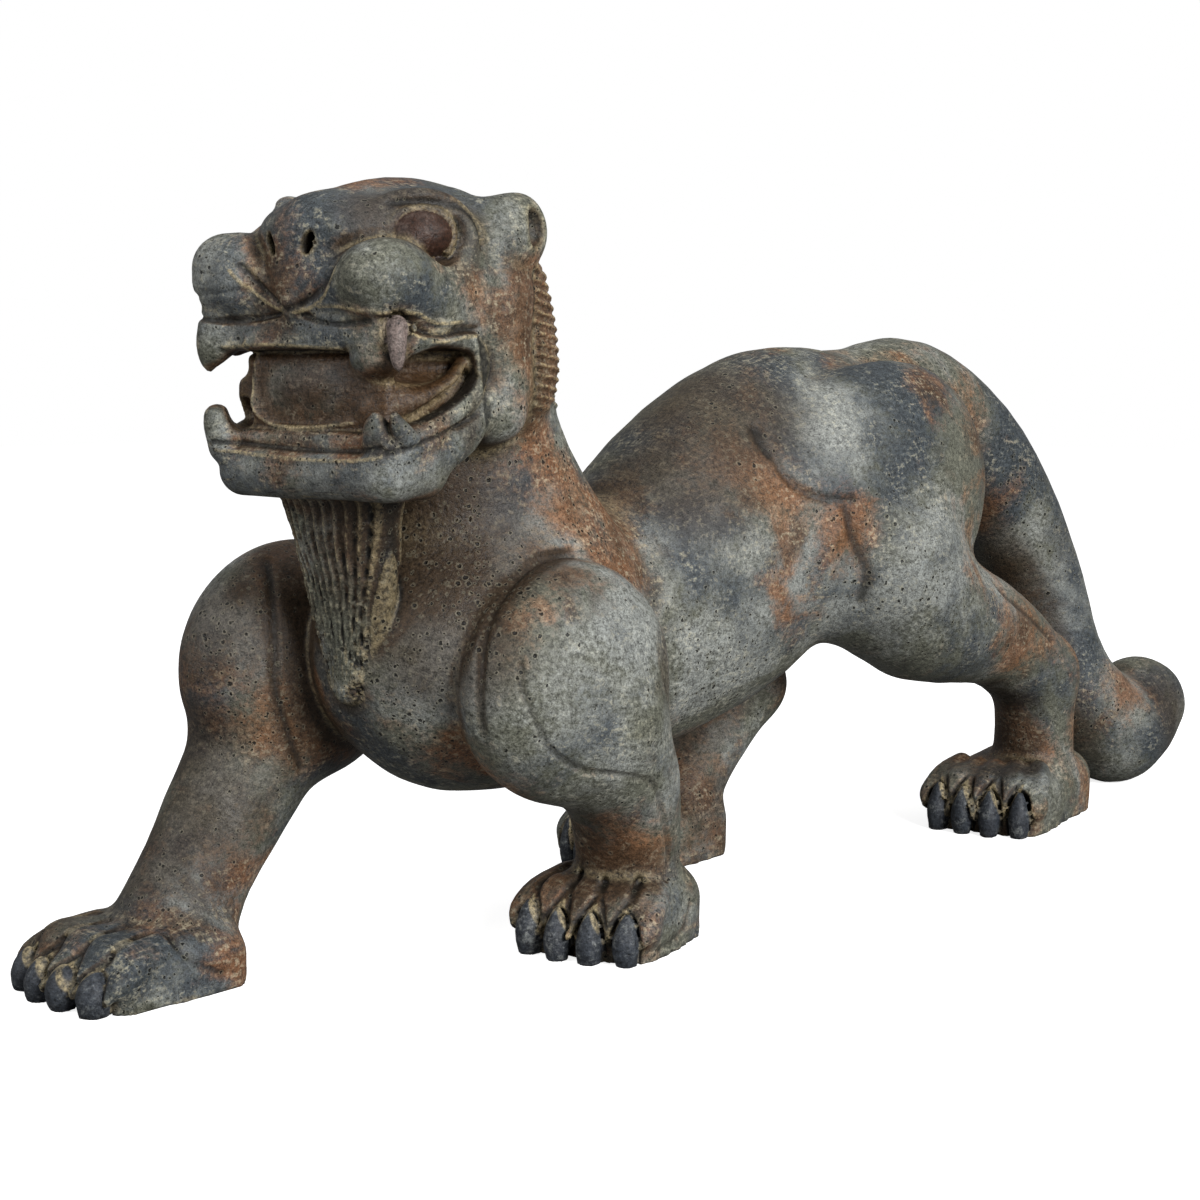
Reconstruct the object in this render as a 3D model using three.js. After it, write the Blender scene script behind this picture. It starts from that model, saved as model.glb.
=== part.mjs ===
// A striding lion cast in one piece: it walks on four clawed paws with its mouth open, and the tip
// of its tail rests on the ground. It is shaped like clay: rounded masses are pressed together
// or cut away in order, the skin of the result is netted, and the net is thinned to broad facets.
// Millimetres. The lion faces -Y, its left side is +X, and its paws stand on z = 0.
import * as THREE from "three";

// How finely the skin is netted, and how many facets stay
const netStep = 3;
const blockSteps = 4;
const facetBudget = 9400;
const clayColour = 0x5f6660;

// The middle of the footprint is moved to the origin by this much
const toOrigin = { x: 3.7, y: -7 };

// The room in which the skin is looked for
const roomLow = [-150, -480, -10];
const roomHigh = [150, 540, 424];

// Trunk: along the spine, then up the neck, each node is x, y, z and radius
const trunkSlim = [0.8, 1, 1];
const spineNodes = [
  [0, -235, 160, 68],
  [0, -190, 155, 70],
  [0, -135, 157, 71],
  [0, -85, 171, 81],
  [0, -30, 198, 92.5],
  [0, 30, 228, 91],
  [0, 85, 234, 84],
  [0, 125, 240, 72],
];
const chestCentre = [0, -230, 163];
const chestRadii = [82, 90, 72];
const neckNodes = [
  [0, -205, 180, 80],
  [0, -228, 238, 63],
  [0, -240, 290, 54],
  [0, -250, 330, 48],
];

// Beard: a flat tongue of hair that lies on the chest
const beardFlat = [1, 0.45, 1];
const beardNodes = [
  [0, -305, 258, 60],
  [0, -305, 238, 47],
  [0, -305, 200, 33],
  [0, -311, 168, 22],
  [0, -317, 153, 13],
];

// Front legs: the left one stands straight, the right one reaches forward
const leftShoulder = { centre: [70, -233, 150], radii: [41, 68, 62] };
const leftForeNodes = [
  [72, -222, 130, 42],
  [68, -188, 92, 32],
  [60, -172, 50, 28],
  [59, -172, 24, 28],
];
const rightShoulder = { centre: [-78, -284, 152], radii: [44, 71, 66] };
const rightForeNodes = [
  [-80, -298, 124, 36],
  [-80, -324, 90, 33],
  [-79, -352, 52, 29],
  [-76, -369, 28, 31],
];

// Hind legs: the left one pushes back, the right one swings forward under the belly
const leftHaunch = { centre: [52, 74, 226], radii: [46, 112, 86], turn: [12, 0, 0] };
const leftThighNodes = [
  [64, 58, 193, 50],
  [66, 104, 157, 46],
  [68, 190, 132, 34],
  [72, 246, 98, 29],
];
const leftHockNodes = [
  [72, 246, 100, 29],
  [70, 250, 62, 27],
  [68, 252, 28, 28],
];
const rightHaunch = { centre: [-52, 60, 216], radii: [46, 108, 82], turn: [-6, 0, 0] };
const rightThighNodes = [
  [-62, 0, 170, 48],
  [-62, 38, 130, 38],
  [-50, 74, 102, 28],
];
const rightHockNodes = [
  [-50, 77, 100, 27],
  [-48, 35, 66, 24],
  [-48, 2, 34, 26],
];

// Paws: where each stands, which way it points, how wide, long and high it is
const paws = [
  { x: 56, y: -185, turn: 14, wide: 81, long: 98, knuckle: 27, top: 40 },
  { x: -76, y: -401, turn: -4, wide: 88, long: 104, knuckle: 20, top: 33 },
  { x: 62, y: 231, turn: 10, wide: 80, long: 143, knuckle: 31, top: 42 },
  { x: -50, y: -28, turn: 0, wide: 66, long: 114, knuckle: 31, top: 40 },
];
const toeCount = 4;
const toeGap = 0.235;
const toeRadius = 10.5;
const clawRadius = 0.42;
const pawRound = 19;
const pawBelow = 18;

// Tail: over the rump, down to the ground, then curled up at the tip
const tailNodes = [
  [0, 110, 268, 44],
  [2, 168, 286, 42],
  [6, 216, 276, 39],
  [12, 262, 243, 39],
  [18, 301, 197, 38],
  [26, 328, 148, 35],
  [36, 340, 102, 33],
  [45, 360, 64, 37],
  [54, 394, 40, 40.6],
];
const tipNodes = [
  [54, 394, 40, 40.6],
  [57, 416, 44, 37],
  [58, 431, 55, 35],
];

// Head: shaped looking straight ahead and mirrored, then turned a little to its left
const headTurn = [0, 0, 5];
const headPivot = [0, -200, 0];
const skull = { centre: [0, -276, 350], radii: [60, 67, 48] };
const brow = { centre: [0, -300, 350], half: [54, 42, 43], round: 28 };
const napeWide = [1.35, 1, 1];
const napeNodes = [
  [0, -250, 366, 28],
  [0, -245, 345, 38],
  [0, -242, 315, 41],
  [0, -243, 297, 39],
  [0, -240, 282, 28],
];
const muzzle = { centre: [0, -322, 344], half: [60, 38, 17], round: 13 };
const lipPad = { centre: [51, -340, 351], radii: [19, 33, 23] };
const noseBall = { centre: [0, -328, 367], radii: [32, 43, 25] };
const noseWedge = [
  [0, -344, 366, 27],
  [0, -349, 355, 22],
  [0, -357, 344, 14],
  [0, -363, 337, 7],
];
const noseBridge = [
  [0, -332, 372, 22],
  [0, -300, 376, 25],
  [0, -270, 374, 25],
];
const gum = { centre: [0, -322, 322], half: [58, 39, 9], round: 6 };
const mouth = { centre: [0, -345, 297], half: [90, 49, 17], round: 10 };
const jaw = { centre: [0, -338, 260], half: [55, 25, 14], round: 13 };
const lowerGum = { centre: [0, -336, 271], half: [52, 23, 8], round: 4 };
const jawNodes = [
  [53, -348, 261, 12],
  [56, -335, 265, 10],
  [57, -318, 277, 8],
  [57, -301, 289, 8],
  [57, -294, 303, 7],
  [55, -298, 320, 6],
];
const tongue = { centre: [0, -318, 296], half: [48, 41, 20], round: 14 };
const tongueRim = [
  [37, -348, 288, 7],
  [47, -337, 292, 7],
  [52, -314, 299, 6],
  [50, -300, 312, 6],
];
const gumSwell = { centre: [46, -352, 316], radii: [12, 10, 11] };
const upperFang = [
  [59, -350, 326, 7],
  [61, -354, 318, 6],
  [62, -355, 308, 2.5],
];
const lowerFang = [
  [55, -356, 270, 8],
  [56, -358, 281, 6],
  [57, -359, 290, 3],
];
const browRidge = [
  [31, -344, 371, 5],
  [38, -335, 381, 6],
  [46, -322, 385, 7],
  [51, -309, 383, 7],
  [55, -299, 373, 6],
  [57, -297, 360, 5],
];
const eyeTurn = [0, 0, 35];
const socket = { centre: [51, -331, 370], radii: [14, 24, 14] };
const eyeBall = { centre: [40, -323, 369], radii: [15, 19, 14] };
const ear = { centre: [54, -260, 375], radii: [14, 20, 19], turn: [0, 0, 20] };
const earHollow = { centre: [67, -260, 377], radii: [8, 10, 12] };
const cheekStrap = { centre: [50, -275, 314], half: [13, 13, 44], round: 9 };
const cheekGroove = [
  [66, -293, 326, 3],
  [65, -290, 300, 4],
  [64, -289, 278, 4],
  [62, -286, 270, 3],
];

// Carved lines: where each runs, how wide and how deep it is pressed in
const haunchLine = { side: 30, wide: 4, deep: 4.5, path: [
  [-50, 290],
  [-30, 268],
  [-28, 250],
  [-16, 237],
  [8, 231],
] };
const shoulderLine = { side: 60, wide: 2.6, deep: 2.6, path: [
  [-290, 163],
  [-284, 136],
  [-254, 113],
  [-217, 104],
  [-190, 78],
  [-174, 46],
] };
const napeRib = { low: 287, high: 362.6, pitch: 8.4, deep: 1.5, front: -266, back: -170 };
const beardLock = { count: 8, low: 148, high: 250, deep: 2, front: -306, tipHalf: 9, topHalf: 44 };

// Small helpers for vectors
const dot = (a, b) => a[0] * b[0] + a[1] * b[1] + a[2] * b[2];
const minus = (a, b) => [a[0] - b[0], a[1] - b[1], a[2] - b[2]];
const cross = (a, b) => [
  a[1] * b[2] - a[2] * b[1],
  a[2] * b[0] - a[0] * b[2],
  a[0] * b[1] - a[1] * b[0],
];

// The three axes of a frame turned by degrees about x, then y, then z
function turnedAxes(turn) {
  const [a, b, c] = turn.map(THREE.MathUtils.degToRad);
  const matrix = new THREE.Matrix4().makeRotationFromEuler(new THREE.Euler(a, b, c, "ZYX"));
  const e = matrix.elements;
  return [
    [e[0], e[1], e[2]],
    [e[4], e[5], e[6]],
    [e[8], e[9], e[10]],
  ];
}

// An egg: a ball stretched by its three radii
function egg({ centre, radii, turn = [0, 0, 0] }) {
  const axes = turnedAxes(turn);
  const distance = (p) => {
    const out = minus(p, centre);
    let near = 0;
    let steep = 0;
    for (let k = 0; k < 3; k++) {
      const along = dot(out, axes[k]) / radii[k];
      near += along * along;
      steep += (along / radii[k]) ** 2;
    }
    near = Math.sqrt(near);
    return (near * (near - 1)) / Math.max(Math.sqrt(steep), 1e-6);
  };
  return { centre, reach: Math.max(...radii), distance };
}

// A block with rounded edges
function block({ centre, half, round }) {
  const distance = (p) => {
    let outside = 0;
    let inside = -Infinity;
    for (let k = 0; k < 3; k++) {
      const over = Math.abs(p[k] - centre[k]) - half[k] + round;
      if (over > 0) outside += over * over;
      inside = Math.max(inside, over);
    }
    return Math.sqrt(outside) + Math.min(inside, 0) - round;
  };
  return { centre, reach: Math.hypot(...half), distance };
}

// A smooth curve through nodes, each span split into a few straight steps
function smoothNodes(nodes, steps) {
  const first = nodes[0].map((v, k) => 2 * v - nodes[1][k]);
  const last = nodes.at(-1).map((v, k) => 2 * v - nodes.at(-2)[k]);
  const all = [first, ...nodes, last];
  const curve = [];
  for (let i = 1; i + 2 < all.length; i++) {
    for (let s = 0; s < steps; s++) {
      const t = s / steps;
      const point = all[i].map((v, k) => {
        const before = all[i - 1][k];
        const next = all[i + 1][k];
        const after = all[i + 2][k];
        const bend = 2 * before - 5 * v + 4 * next - after;
        const twist = 3 * v - before - 3 * next + after;
        return 0.5 * (2 * v + (next - before) * t + bend * t * t + twist * t ** 3);
      });
      curve.push(point);
    }
  }
  curve.push(nodes.at(-1));
  return curve;
}

// A limb: a round bar of changing radius that follows its nodes, slimmed along the axes
function limb(nodes, slim = [1, 1, 1]) {
  const path = smoothNodes(nodes, 3);
  const centre = [0, 1, 2].map((k) => {
    const low = Math.min(...path.map((n) => n[k] - n[3]));
    const high = Math.max(...path.map((n) => n[k] + n[3]));
    return (low + high) / 2;
  });
  const reach = Math.max(...path.map((n) => Math.hypot(...minus(n, centre)) + n[3]));
  const spans = path.slice(1).map((end, i) => {
    const start = path[i];
    const along = minus(end, start);
    return { start, along, length2: Math.max(dot(along, along), 1e-9), swell: end[3] - start[3] };
  });
  const thin = Math.min(...slim);
  const distance = (p) => {
    let best = Infinity;
    for (const { start, along, length2, swell } of spans) {
      const x = p[0] - start[0];
      const y = p[1] - start[1];
      const z = p[2] - start[2];
      const t = Math.min(Math.max((x * along[0] + y * along[1] + z * along[2]) / length2, 0), 1);
      const dx = (x - t * along[0]) / slim[0];
      const dy = (y - t * along[1]) / slim[1];
      const dz = (z - t * along[2]) / slim[2];
      best = Math.min(best, Math.sqrt(dx * dx + dy * dy + dz * dz) - start[3] - t * swell);
    }
    return best * thin;
  };
  return { centre, reach, distance };
}

// Every mass of the lion in the order in which it is pressed on or cut away
const masses = [];
const plainFrame = (p) => p;
let frame = plainFrame;

function add(form, blend) {
  masses.push({ form, blend, frame, sign: 1 });
}

function cut(form, blend) {
  masses.push({ form, blend, frame, sign: -1 });
}

// A relief carved over whatever skin lies there
function carve(relief) {
  masses.push({ relief, frame });
}

// A frame turned about a pivot, and mirrored on its middle plane if it holds pairs
function turnedFrame(pivot, turn, mirrored) {
  const axes = turnedAxes(turn);
  return (p) => {
    const out = minus(p, pivot);
    const x = dot(out, axes[0]) + pivot[0];
    return [mirrored ? Math.abs(x) : x, dot(out, axes[1]) + pivot[1], dot(out, axes[2]) + pivot[2]];
  };
}

function shapeTrunk() {
  add(limb(spineNodes, trunkSlim), 0);
  add(egg({ centre: chestCentre, radii: chestRadii }), 20);
  add(limb(neckNodes, trunkSlim), 16);
}

function shapeLegs() {
  add(egg(leftHaunch), 10);
  add(limb(leftThighNodes), 14);
  add(limb(leftHockNodes), 8);
  add(egg(rightHaunch), 10);
  add(limb(rightThighNodes), 14);
  add(limb(rightHockNodes), 8);
  add(egg(leftShoulder), 4);
  add(limb(leftForeNodes), 12);
  add(egg(rightShoulder), 4);
  add(limb(rightForeNodes), 12);
}

// A paw: a low rounded block with four toes, each with a blunt claw that touches the ground
function shapePaw({ x, y, turn, wide, long, knuckle, top }) {
  frame = turnedFrame([x, y, 0], [0, 0, turn], false);
  const front = y - long / 2;
  const half = [wide / 2, long / 2 - 8, (top + pawBelow) / 2];
  add(block({ centre: [x, y + 8, (top - pawBelow) / 2], half, round: pawRound }), 10);
  const gap = wide * toeGap;
  for (let i = 0; i < toeCount; i++) {
    const side = i - (toeCount - 1) / 2;
    const toe = x + side * gap;
    const tip = front + Math.abs(side) * 5;
    const root = [x + (toe - x) * 0.7, tip + 42, knuckle + 2, toeRadius];
    const bend = [toe, tip + 26, knuckle, toeRadius];
    const end = [toe, tip + 15, knuckle - 9, toeRadius - 1];
    add(limb([root, bend, end]), 3);
    const claw = gap * clawRadius;
    const clawRoot = [toe, tip + 14, knuckle, claw * 0.4];
    const clawBend = [toe, tip + 8, knuckle * 0.55, claw];
    add(limb([clawRoot, clawBend, [toe, tip + 9, 0, claw]]), 1.5);
  }
  frame = plainFrame;
}

function shapeHead() {
  frame = turnedFrame(headPivot, headTurn, true);
  add(egg(skull), 14);
  add(block(brow), 12);
  add(limb(napeNodes, napeWide), 6);
  add(block(muzzle), 8);
  add(egg(lipPad), 7);
  add(egg(noseBall), 4);
  add(limb(noseWedge), 3);
  add(limb(noseBridge), 8);
  add(block(gum), 3);
  cut(block(mouth), 3);
  add(block(jaw), 5);
  add(block(lowerGum), 2);
  add(limb(jawNodes), 4);
  add(block(tongue), 4);
  add(limb(tongueRim), 4);
  add(egg(gumSwell), 4);
  add(limb(upperFang), 2);
  add(limb(lowerFang), 3);
  add(limb(browRidge), 6);
  cut(egg({ ...socket, turn: eyeTurn }), 3);
  add(egg({ ...eyeBall, turn: eyeTurn }), 2);
  add(egg(ear), 6);
  cut(egg(earHollow), 4);
  add(block(cheekStrap), 6);
  cut(limb(cheekGroove), 2);
  carve(napeRibs);
  frame = plainFrame;
}

// Level ribs across the back of the neck
function napeRibs([, y, z]) {
  const { low, high, pitch, deep, front, back } = napeRib;
  if (y < front || y > back || z < low || z > high) return 0;
  return deep * Math.sin((2 * Math.PI * (z - low)) / pitch);
}

// Locks of the beard, side by side, drawn together towards its tip
function beardLocks([x, y, z]) {
  const { count, low, high, deep, front, tipHalf, topHalf } = beardLock;
  if (y > front || z < low || z > high) return 0;
  const half = tipHalf + ((topHalf - tipHalf) * (z - low)) / (high - low);
  const across = x / half;
  if (Math.abs(across) > 0.9) return 0;
  return -deep * Math.cos(Math.PI * count * across);
}

// A line pressed into the left side of the body
function sideLine({ side, wide, deep, path }) {
  const line = smoothNodes(path, 4);
  return ([x, y, z]) => {
    if (x < side) return 0;
    let near = Infinity;
    for (let i = 1; i < line.length; i++) {
      const [ay, az] = line[i - 1];
      const [by, bz] = line[i];
      const dy = by - ay;
      const dz = bz - az;
      const t = Math.min(Math.max(((y - ay) * dy + (z - az) * dz) / (dy * dy + dz * dz), 0), 1);
      near = Math.min(near, Math.hypot(y - ay - t * dy, z - az - t * dz));
    }
    return deep * Math.exp(-((near / wide) ** 2));
  };
}

shapeTrunk();
shapeLegs();
add(limb(tailNodes), 14);
add(limb(tipNodes), 4);
paws.forEach(shapePaw);
carve(sideLine(haunchLine));
carve(sideLine(shoulderLine));
add(limb(beardNodes, beardFlat), 3);
carve(beardLocks);
shapeHead();

// How far a point lies outside the clay, below zero inside; the soles are cut flat at z = 0
const farOut = 1000;
const margin = 14;
function depthAt(point, list) {
  let depth = farOut;
  let lastFrame = null;
  let local = point;
  for (const mass of list) {
    if (mass.frame !== lastFrame) {
      local = mass.frame(point);
      lastFrame = mass.frame;
    }
    if (mass.relief) {
      if (Math.abs(depth) < margin) depth += mass.relief(local);
      continue;
    }
    const { form, blend, sign } = mass;
    if (Math.hypot(...minus(local, form.centre)) > form.reach + blend + margin) continue;
    const other = sign * form.distance(local);
    const overlap = blend > 0 ? Math.max(blend - Math.abs(depth - other), 0) / blend : 0;
    const soft = (overlap * overlap * blend) / 4;
    depth = sign > 0 ? Math.min(depth, other) - soft : Math.max(depth, other) + soft;
  }
  return Math.max(depth, -point[2]);
}

// The masses that can matter within a ball round a point
function massesNear(point, radius) {
  return masses.filter(({ form, blend, relief, frame: local }) => {
    if (relief) return true;
    const away = Math.hypot(...minus(local(point), form.centre));
    return away < form.reach + blend + margin + radius;
  });
}

// Depths on a fine grid, worked out only in the coarse blocks that hold skin
const blockSize = netStep * blockSteps;
const blocks = roomLow.map((low, k) => Math.ceil((roomHigh[k] - low) / blockSize));
const size = blocks.map((n) => n * blockSteps);
const depths = new Float32Array(size[0] * size[1] * size[2]);
const nodeAt = (i, j, k) => (i * size[1] + j) * size[2] + k;
const place = (i, j, k) => [
  roomLow[0] + i * netStep,
  roomLow[1] + j * netStep,
  roomLow[2] + k * netStep,
];

function fillBlock(bi, bj, bk) {
  const middle = [bi, bj, bk].map((b, k) => roomLow[k] + (b + 0.5) * blockSize);
  const list = massesNear(middle, blockSize);
  const depth = depthAt(middle, list);
  const skinHere = Math.abs(depth) < blockSize * 1.6;
  for (let i = bi * blockSteps; i < (bi + 1) * blockSteps; i++) {
    for (let j = bj * blockSteps; j < (bj + 1) * blockSteps; j++) {
      for (let k = bk * blockSteps; k < (bk + 1) * blockSteps; k++) {
        depths[nodeAt(i, j, k)] = skinHere ? depthAt(place(i, j, k), list) : depth;
      }
    }
  }
}

for (let bi = 0; bi < blocks[0]; bi++) {
  for (let bj = 0; bj < blocks[1]; bj++) {
    for (let bk = 0; bk < blocks[2]; bk++) fillBlock(bi, bj, bk);
  }
}

// The eight corners of a cell, and its twelve edges as pairs of corners
const corners = [0, 1, 2, 3, 4, 5, 6, 7].map((c) => [c >> 2, (c >> 1) & 1, c & 1]);
const edges = [];
for (let a = 0; a < 8; a++) {
  for (const step of [1, 2, 4]) if (!(a & step)) edges.push([a, a | step]);
}

// Where skin would pinch itself along a cell diagonal, the corner next to it is filled in
function fillPinches() {
  const faces = [
    [0, 1, 2, 3],
    [4, 5, 6, 7],
    [0, 1, 4, 5],
    [2, 3, 6, 7],
    [0, 2, 4, 6],
    [1, 3, 5, 7],
  ];
  let filled = 0;
  for (let i = 0; i + 1 < size[0]; i++) {
    for (let j = 0; j + 1 < size[1]; j++) {
      for (let k = 0; k + 1 < size[2]; k++) {
        const nodes = corners.map(([a, b, c]) => nodeAt(i + a, j + b, k + c));
        const inside = nodes.map((n) => depths[n] < 0);
        const count = inside.filter(Boolean).length;
        if (count < 2 || count > 6) continue;
        for (const [a, b, c, d] of faces) {
          const pinched = inside[a] === inside[d] && inside[b] === inside[c];
          if (!pinched || inside[a] === inside[b]) continue;
          depths[nodes[inside[a] ? b : a]] = -0.05;
          filled++;
        }
        const lone = count === 2 || count === 6;
        for (let c = 0; lone && c < 4; c++) {
          const wanted = count === 2;
          if (inside[c] !== wanted || inside[7 - c] !== wanted) continue;
          const empty = nodes.filter((n) => depths[n] >= 0);
          depths[empty[0]] = -0.05;
          filled++;
        }
      }
    }
  }
  return filled;
}

while (fillPinches() > 0);

// Net the skin: one knot in every cell that the skin crosses, one mesh round every crossed edge
function netSkin() {
  const knotOf = new Int32Array(depths.length).fill(-1);
  const knots = [];
  for (let i = 0; i + 1 < size[0]; i++) {
    for (let j = 0; j + 1 < size[1]; j++) {
      for (let k = 0; k + 1 < size[2]; k++) {
        const at = corners.map(([a, b, c]) => depths[nodeAt(i + a, j + b, k + c)]);
        const sum = [0, 0, 0];
        let crossed = 0;
        for (const [a, b] of edges) {
          if (at[a] < 0 === at[b] < 0) continue;
          const t = at[a] / (at[a] - at[b]);
          for (let m = 0; m < 3; m++) sum[m] += corners[a][m] + t * (corners[b][m] - corners[a][m]);
          crossed++;
        }
        if (!crossed) continue;
        knotOf[nodeAt(i, j, k)] = knots.length;
        knots.push(place(i + sum[0] / crossed, j + sum[1] / crossed, k + sum[2] / crossed));
      }
    }
  }
  const facets = [];
  const around = [
    [[0, 1, 1], [0, 0, 1], [0, 0, 0], [0, 1, 0]],
    [[1, 0, 1], [1, 0, 0], [0, 0, 0], [0, 0, 1]],
    [[1, 1, 0], [0, 1, 0], [0, 0, 0], [1, 0, 0]],
  ];
  const ahead = [nodeAt(1, 0, 0), nodeAt(0, 1, 0), nodeAt(0, 0, 1)];
  for (let i = 1; i + 1 < size[0]; i++) {
    for (let j = 1; j + 1 < size[1]; j++) {
      for (let k = 1; k + 1 < size[2]; k++) {
        const node = nodeAt(i, j, k);
        for (let axis = 0; axis < 3; axis++) {
          const inside = depths[node] < 0;
          if (inside === depths[node + ahead[axis]] < 0) continue;
          const ring = around[axis].map(([a, b, c]) => knotOf[nodeAt(i - a, j - b, k - c)]);
          if (!inside) ring.reverse();
          const [a, b, c, d] = ring;
          const acrossAC = Math.hypot(...minus(knots[a], knots[c]));
          const acrossBD = Math.hypot(...minus(knots[b], knots[d]));
          if (acrossAC < acrossBD) facets.push([a, b, c], [a, c, d]);
          else facets.push([a, b, d], [b, c, d]);
        }
      }
    }
  }
  return { knots, facets };
}

// Keep the outer skin, the largest piece of the net, and drop bubbles shut in between the masses
function outerSkin({ knots, facets }) {
  const leader = knots.map((_, v) => v);
  const leaderOf = (v) => {
    while (leader[v] !== v) {
      leader[v] = leader[leader[v]];
      v = leader[v];
    }
    return v;
  };
  for (const [a, b, c] of facets) {
    leader[leaderOf(a)] = leaderOf(b);
    leader[leaderOf(b)] = leaderOf(c);
  }
  const counts = new Map();
  for (const [a] of facets) counts.set(leaderOf(a), (counts.get(leaderOf(a)) ?? 0) + 1);
  const [largest] = [...counts].reduce((most, next) => (next[1] > most[1] ? next : most));
  return { knots, facets: facets.filter(([a]) => leaderOf(a) === largest) };
}

// A queue that always gives back its cheapest entry
class CheapestFirst {
  entries = [];
  push(entry) {
    const heap = this.entries;
    let at = heap.length;
    heap.push(entry);
    while (at > 0) {
      const parent = (at - 1) >> 1;
      if (heap[parent].cost <= entry.cost) break;
      heap[at] = heap[parent];
      at = parent;
    }
    heap[at] = entry;
  }
  pop() {
    const heap = this.entries;
    const cheapest = heap[0];
    const entry = heap.pop();
    let at = 0;
    while (heap.length > 0) {
      let child = 2 * at + 1;
      if (child >= heap.length) break;
      if (child + 1 < heap.length && heap[child + 1].cost < heap[child].cost) child++;
      if (heap[child].cost >= entry.cost) break;
      heap[at] = heap[child];
      at = child;
    }
    if (heap.length > 0) heap[at] = entry;
    return cheapest;
  }
}

// Thin the net: short edges that bend the skin least are drawn together one after another
function thinNet({ knots, facets }, budget) {
  const onGround = knots.map((p) => p[2] < 0.01);
  const owned = knots.map(() => new Set());
  const planes = knots.map(() => new Float64Array(10));
  facets.forEach(([a, b, c], f) => {
    for (const v of [a, b, c]) owned[v].add(f);
    const normal = cross(minus(knots[b], knots[a]), minus(knots[c], knots[a]));
    const area = Math.hypot(...normal) || 1e-9;
    const [x, y, z] = normal.map((n) => n / area);
    const w = -dot([x, y, z], knots[a]);
    const terms = [x * x, x * y, x * z, x * w, y * y, y * z, y * w, z * z, z * w, w * w];
    for (const v of [a, b, c]) terms.forEach((term, k) => (planes[v][k] += term * area));
  });
  const bendAt = (q, [x, y, z]) =>
    q[0] * x * x + 2 * q[1] * x * y + 2 * q[2] * x * z + 2 * q[3] * x + q[4] * y * y +
    2 * q[5] * y * z + 2 * q[6] * y + q[7] * z * z + 2 * q[8] * z + q[9];
  const best = new THREE.Matrix3();
  const goal = new THREE.Vector3();
  const meetingPoint = (a, b, q) => {
    const pa = knots[a];
    const pb = knots[b];
    const choices = [pa, pb, pa.map((v, k) => (v + pb[k]) / 2)];
    if (onGround[a] !== onGround[b]) return onGround[a] ? pa : pb;
    best.set(q[0], q[1], q[2], q[1], q[4], q[5], q[2], q[5], q[7]);
    if (!onGround[a] && Math.abs(best.determinant()) > 1e-3 * q[0] * q[4] * q[7]) {
      goal.set(-q[3], -q[6], -q[8]).applyMatrix3(best.invert());
      const found = goal.toArray();
      found[2] = Math.max(found[2], 0);
      if (Math.hypot(...minus(found, choices[2])) < 2 * Math.hypot(...minus(pa, pb))) {
        choices.push(found);
      }
    }
    const costs = choices.map((p) => bendAt(q, p));
    return choices[costs.indexOf(Math.min(...costs))];
  };
  const stamps = new Uint32Array(knots.length);
  const queue = new CheapestFirst();
  const offer = (a, b) => {
    const q = planes[a].map((v, k) => v + planes[b][k]);
    const point = meetingPoint(a, b, q);
    const length2 = dot(minus(knots[a], knots[b]), minus(knots[a], knots[b]));
    const cost = bendAt(q, point) + 0.002 * length2 * Math.sqrt(length2);
    queue.push({ a, b, point, cost, stamp: stamps[a] + stamps[b] });
  };
  const neighbours = (v) => {
    const ring = new Set();
    for (const f of owned[v]) for (const u of facets[f]) if (u !== v) ring.add(u);
    return ring;
  };
  const turnsOver = (v, other, point) => {
    for (const f of owned[v]) {
      if (facets[f].includes(other)) continue;
      const old = facets[f].map((u) => knots[u]);
      const moved = facets[f].map((u) => (u === v ? point : knots[u]));
      const before = cross(minus(old[1], old[0]), minus(old[2], old[0]));
      const after = cross(minus(moved[1], moved[0]), minus(moved[2], moved[0]));
      const sides = Math.hypot(...before) * Math.hypot(...after);
      if (dot(before, after) < 0.35 * sides) return true;
      const longest = Math.max(...[0, 1, 2].map((k) => dot(minus(moved[k], moved[(k + 1) % 3]),
        minus(moved[k], moved[(k + 1) % 3]))));
      if (Math.hypot(...after) < 0.06 * longest) return true;
    }
    return false;
  };
  facets.forEach((facet) => {
    for (let k = 0; k < 3; k++) {
      const a = facet[k];
      const b = facet[(k + 1) % 3];
      if (a < b) offer(a, b);
    }
  });
  let left = facets.length;
  while (left > budget && queue.entries.length > 0) {
    const { a, b, point, stamp } = queue.pop();
    if (stamp !== stamps[a] + stamps[b] || !owned[a].size || !owned[b].size) continue;
    const ringA = neighbours(a);
    if (!ringA.has(b)) continue;
    const ringB = neighbours(b);
    const shared = [...ringA].filter((v) => ringB.has(v));
    if (shared.length !== 2) continue;
    if (turnsOver(a, b, point) || turnsOver(b, a, point)) continue;
    for (const f of owned[b]) {
      if (facets[f].includes(a)) {
        for (const v of facets[f]) if (v !== b) owned[v].delete(f);
        facets[f] = null;
        left--;
      } else {
        facets[f] = facets[f].map((v) => (v === b ? a : v));
        owned[a].add(f);
      }
    }
    owned[b].clear();
    knots[a] = point;
    onGround[a] = onGround[a] || onGround[b];
    planes[b].forEach((v, k) => (planes[a][k] += v));
    stamps[a]++;
    stamps[b]++;
    for (const v of neighbours(a)) offer(a, v);
  }
  return { knots, facets: facets.filter(Boolean) };
}

const { knots, facets } = thinNet(outerSkin(netSkin()), facetBudget);
const geometry = new THREE.BufferGeometry();
const corner = facets.flatMap((facet) => facet.flatMap((v) => knots[v]));
geometry.setAttribute("position", new THREE.Float32BufferAttribute(corner, 3));
geometry.translate(toOrigin.x, toOrigin.y, 0);
geometry.computeVertexNormals();

const clay = new THREE.MeshStandardMaterial({ color: clayColour, roughness: 0.6 });
const lion = new THREE.Mesh(geometry, clay);
lion.name = "lion";

const group = new THREE.Group();
group.add(lion);
export default group;
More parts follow.
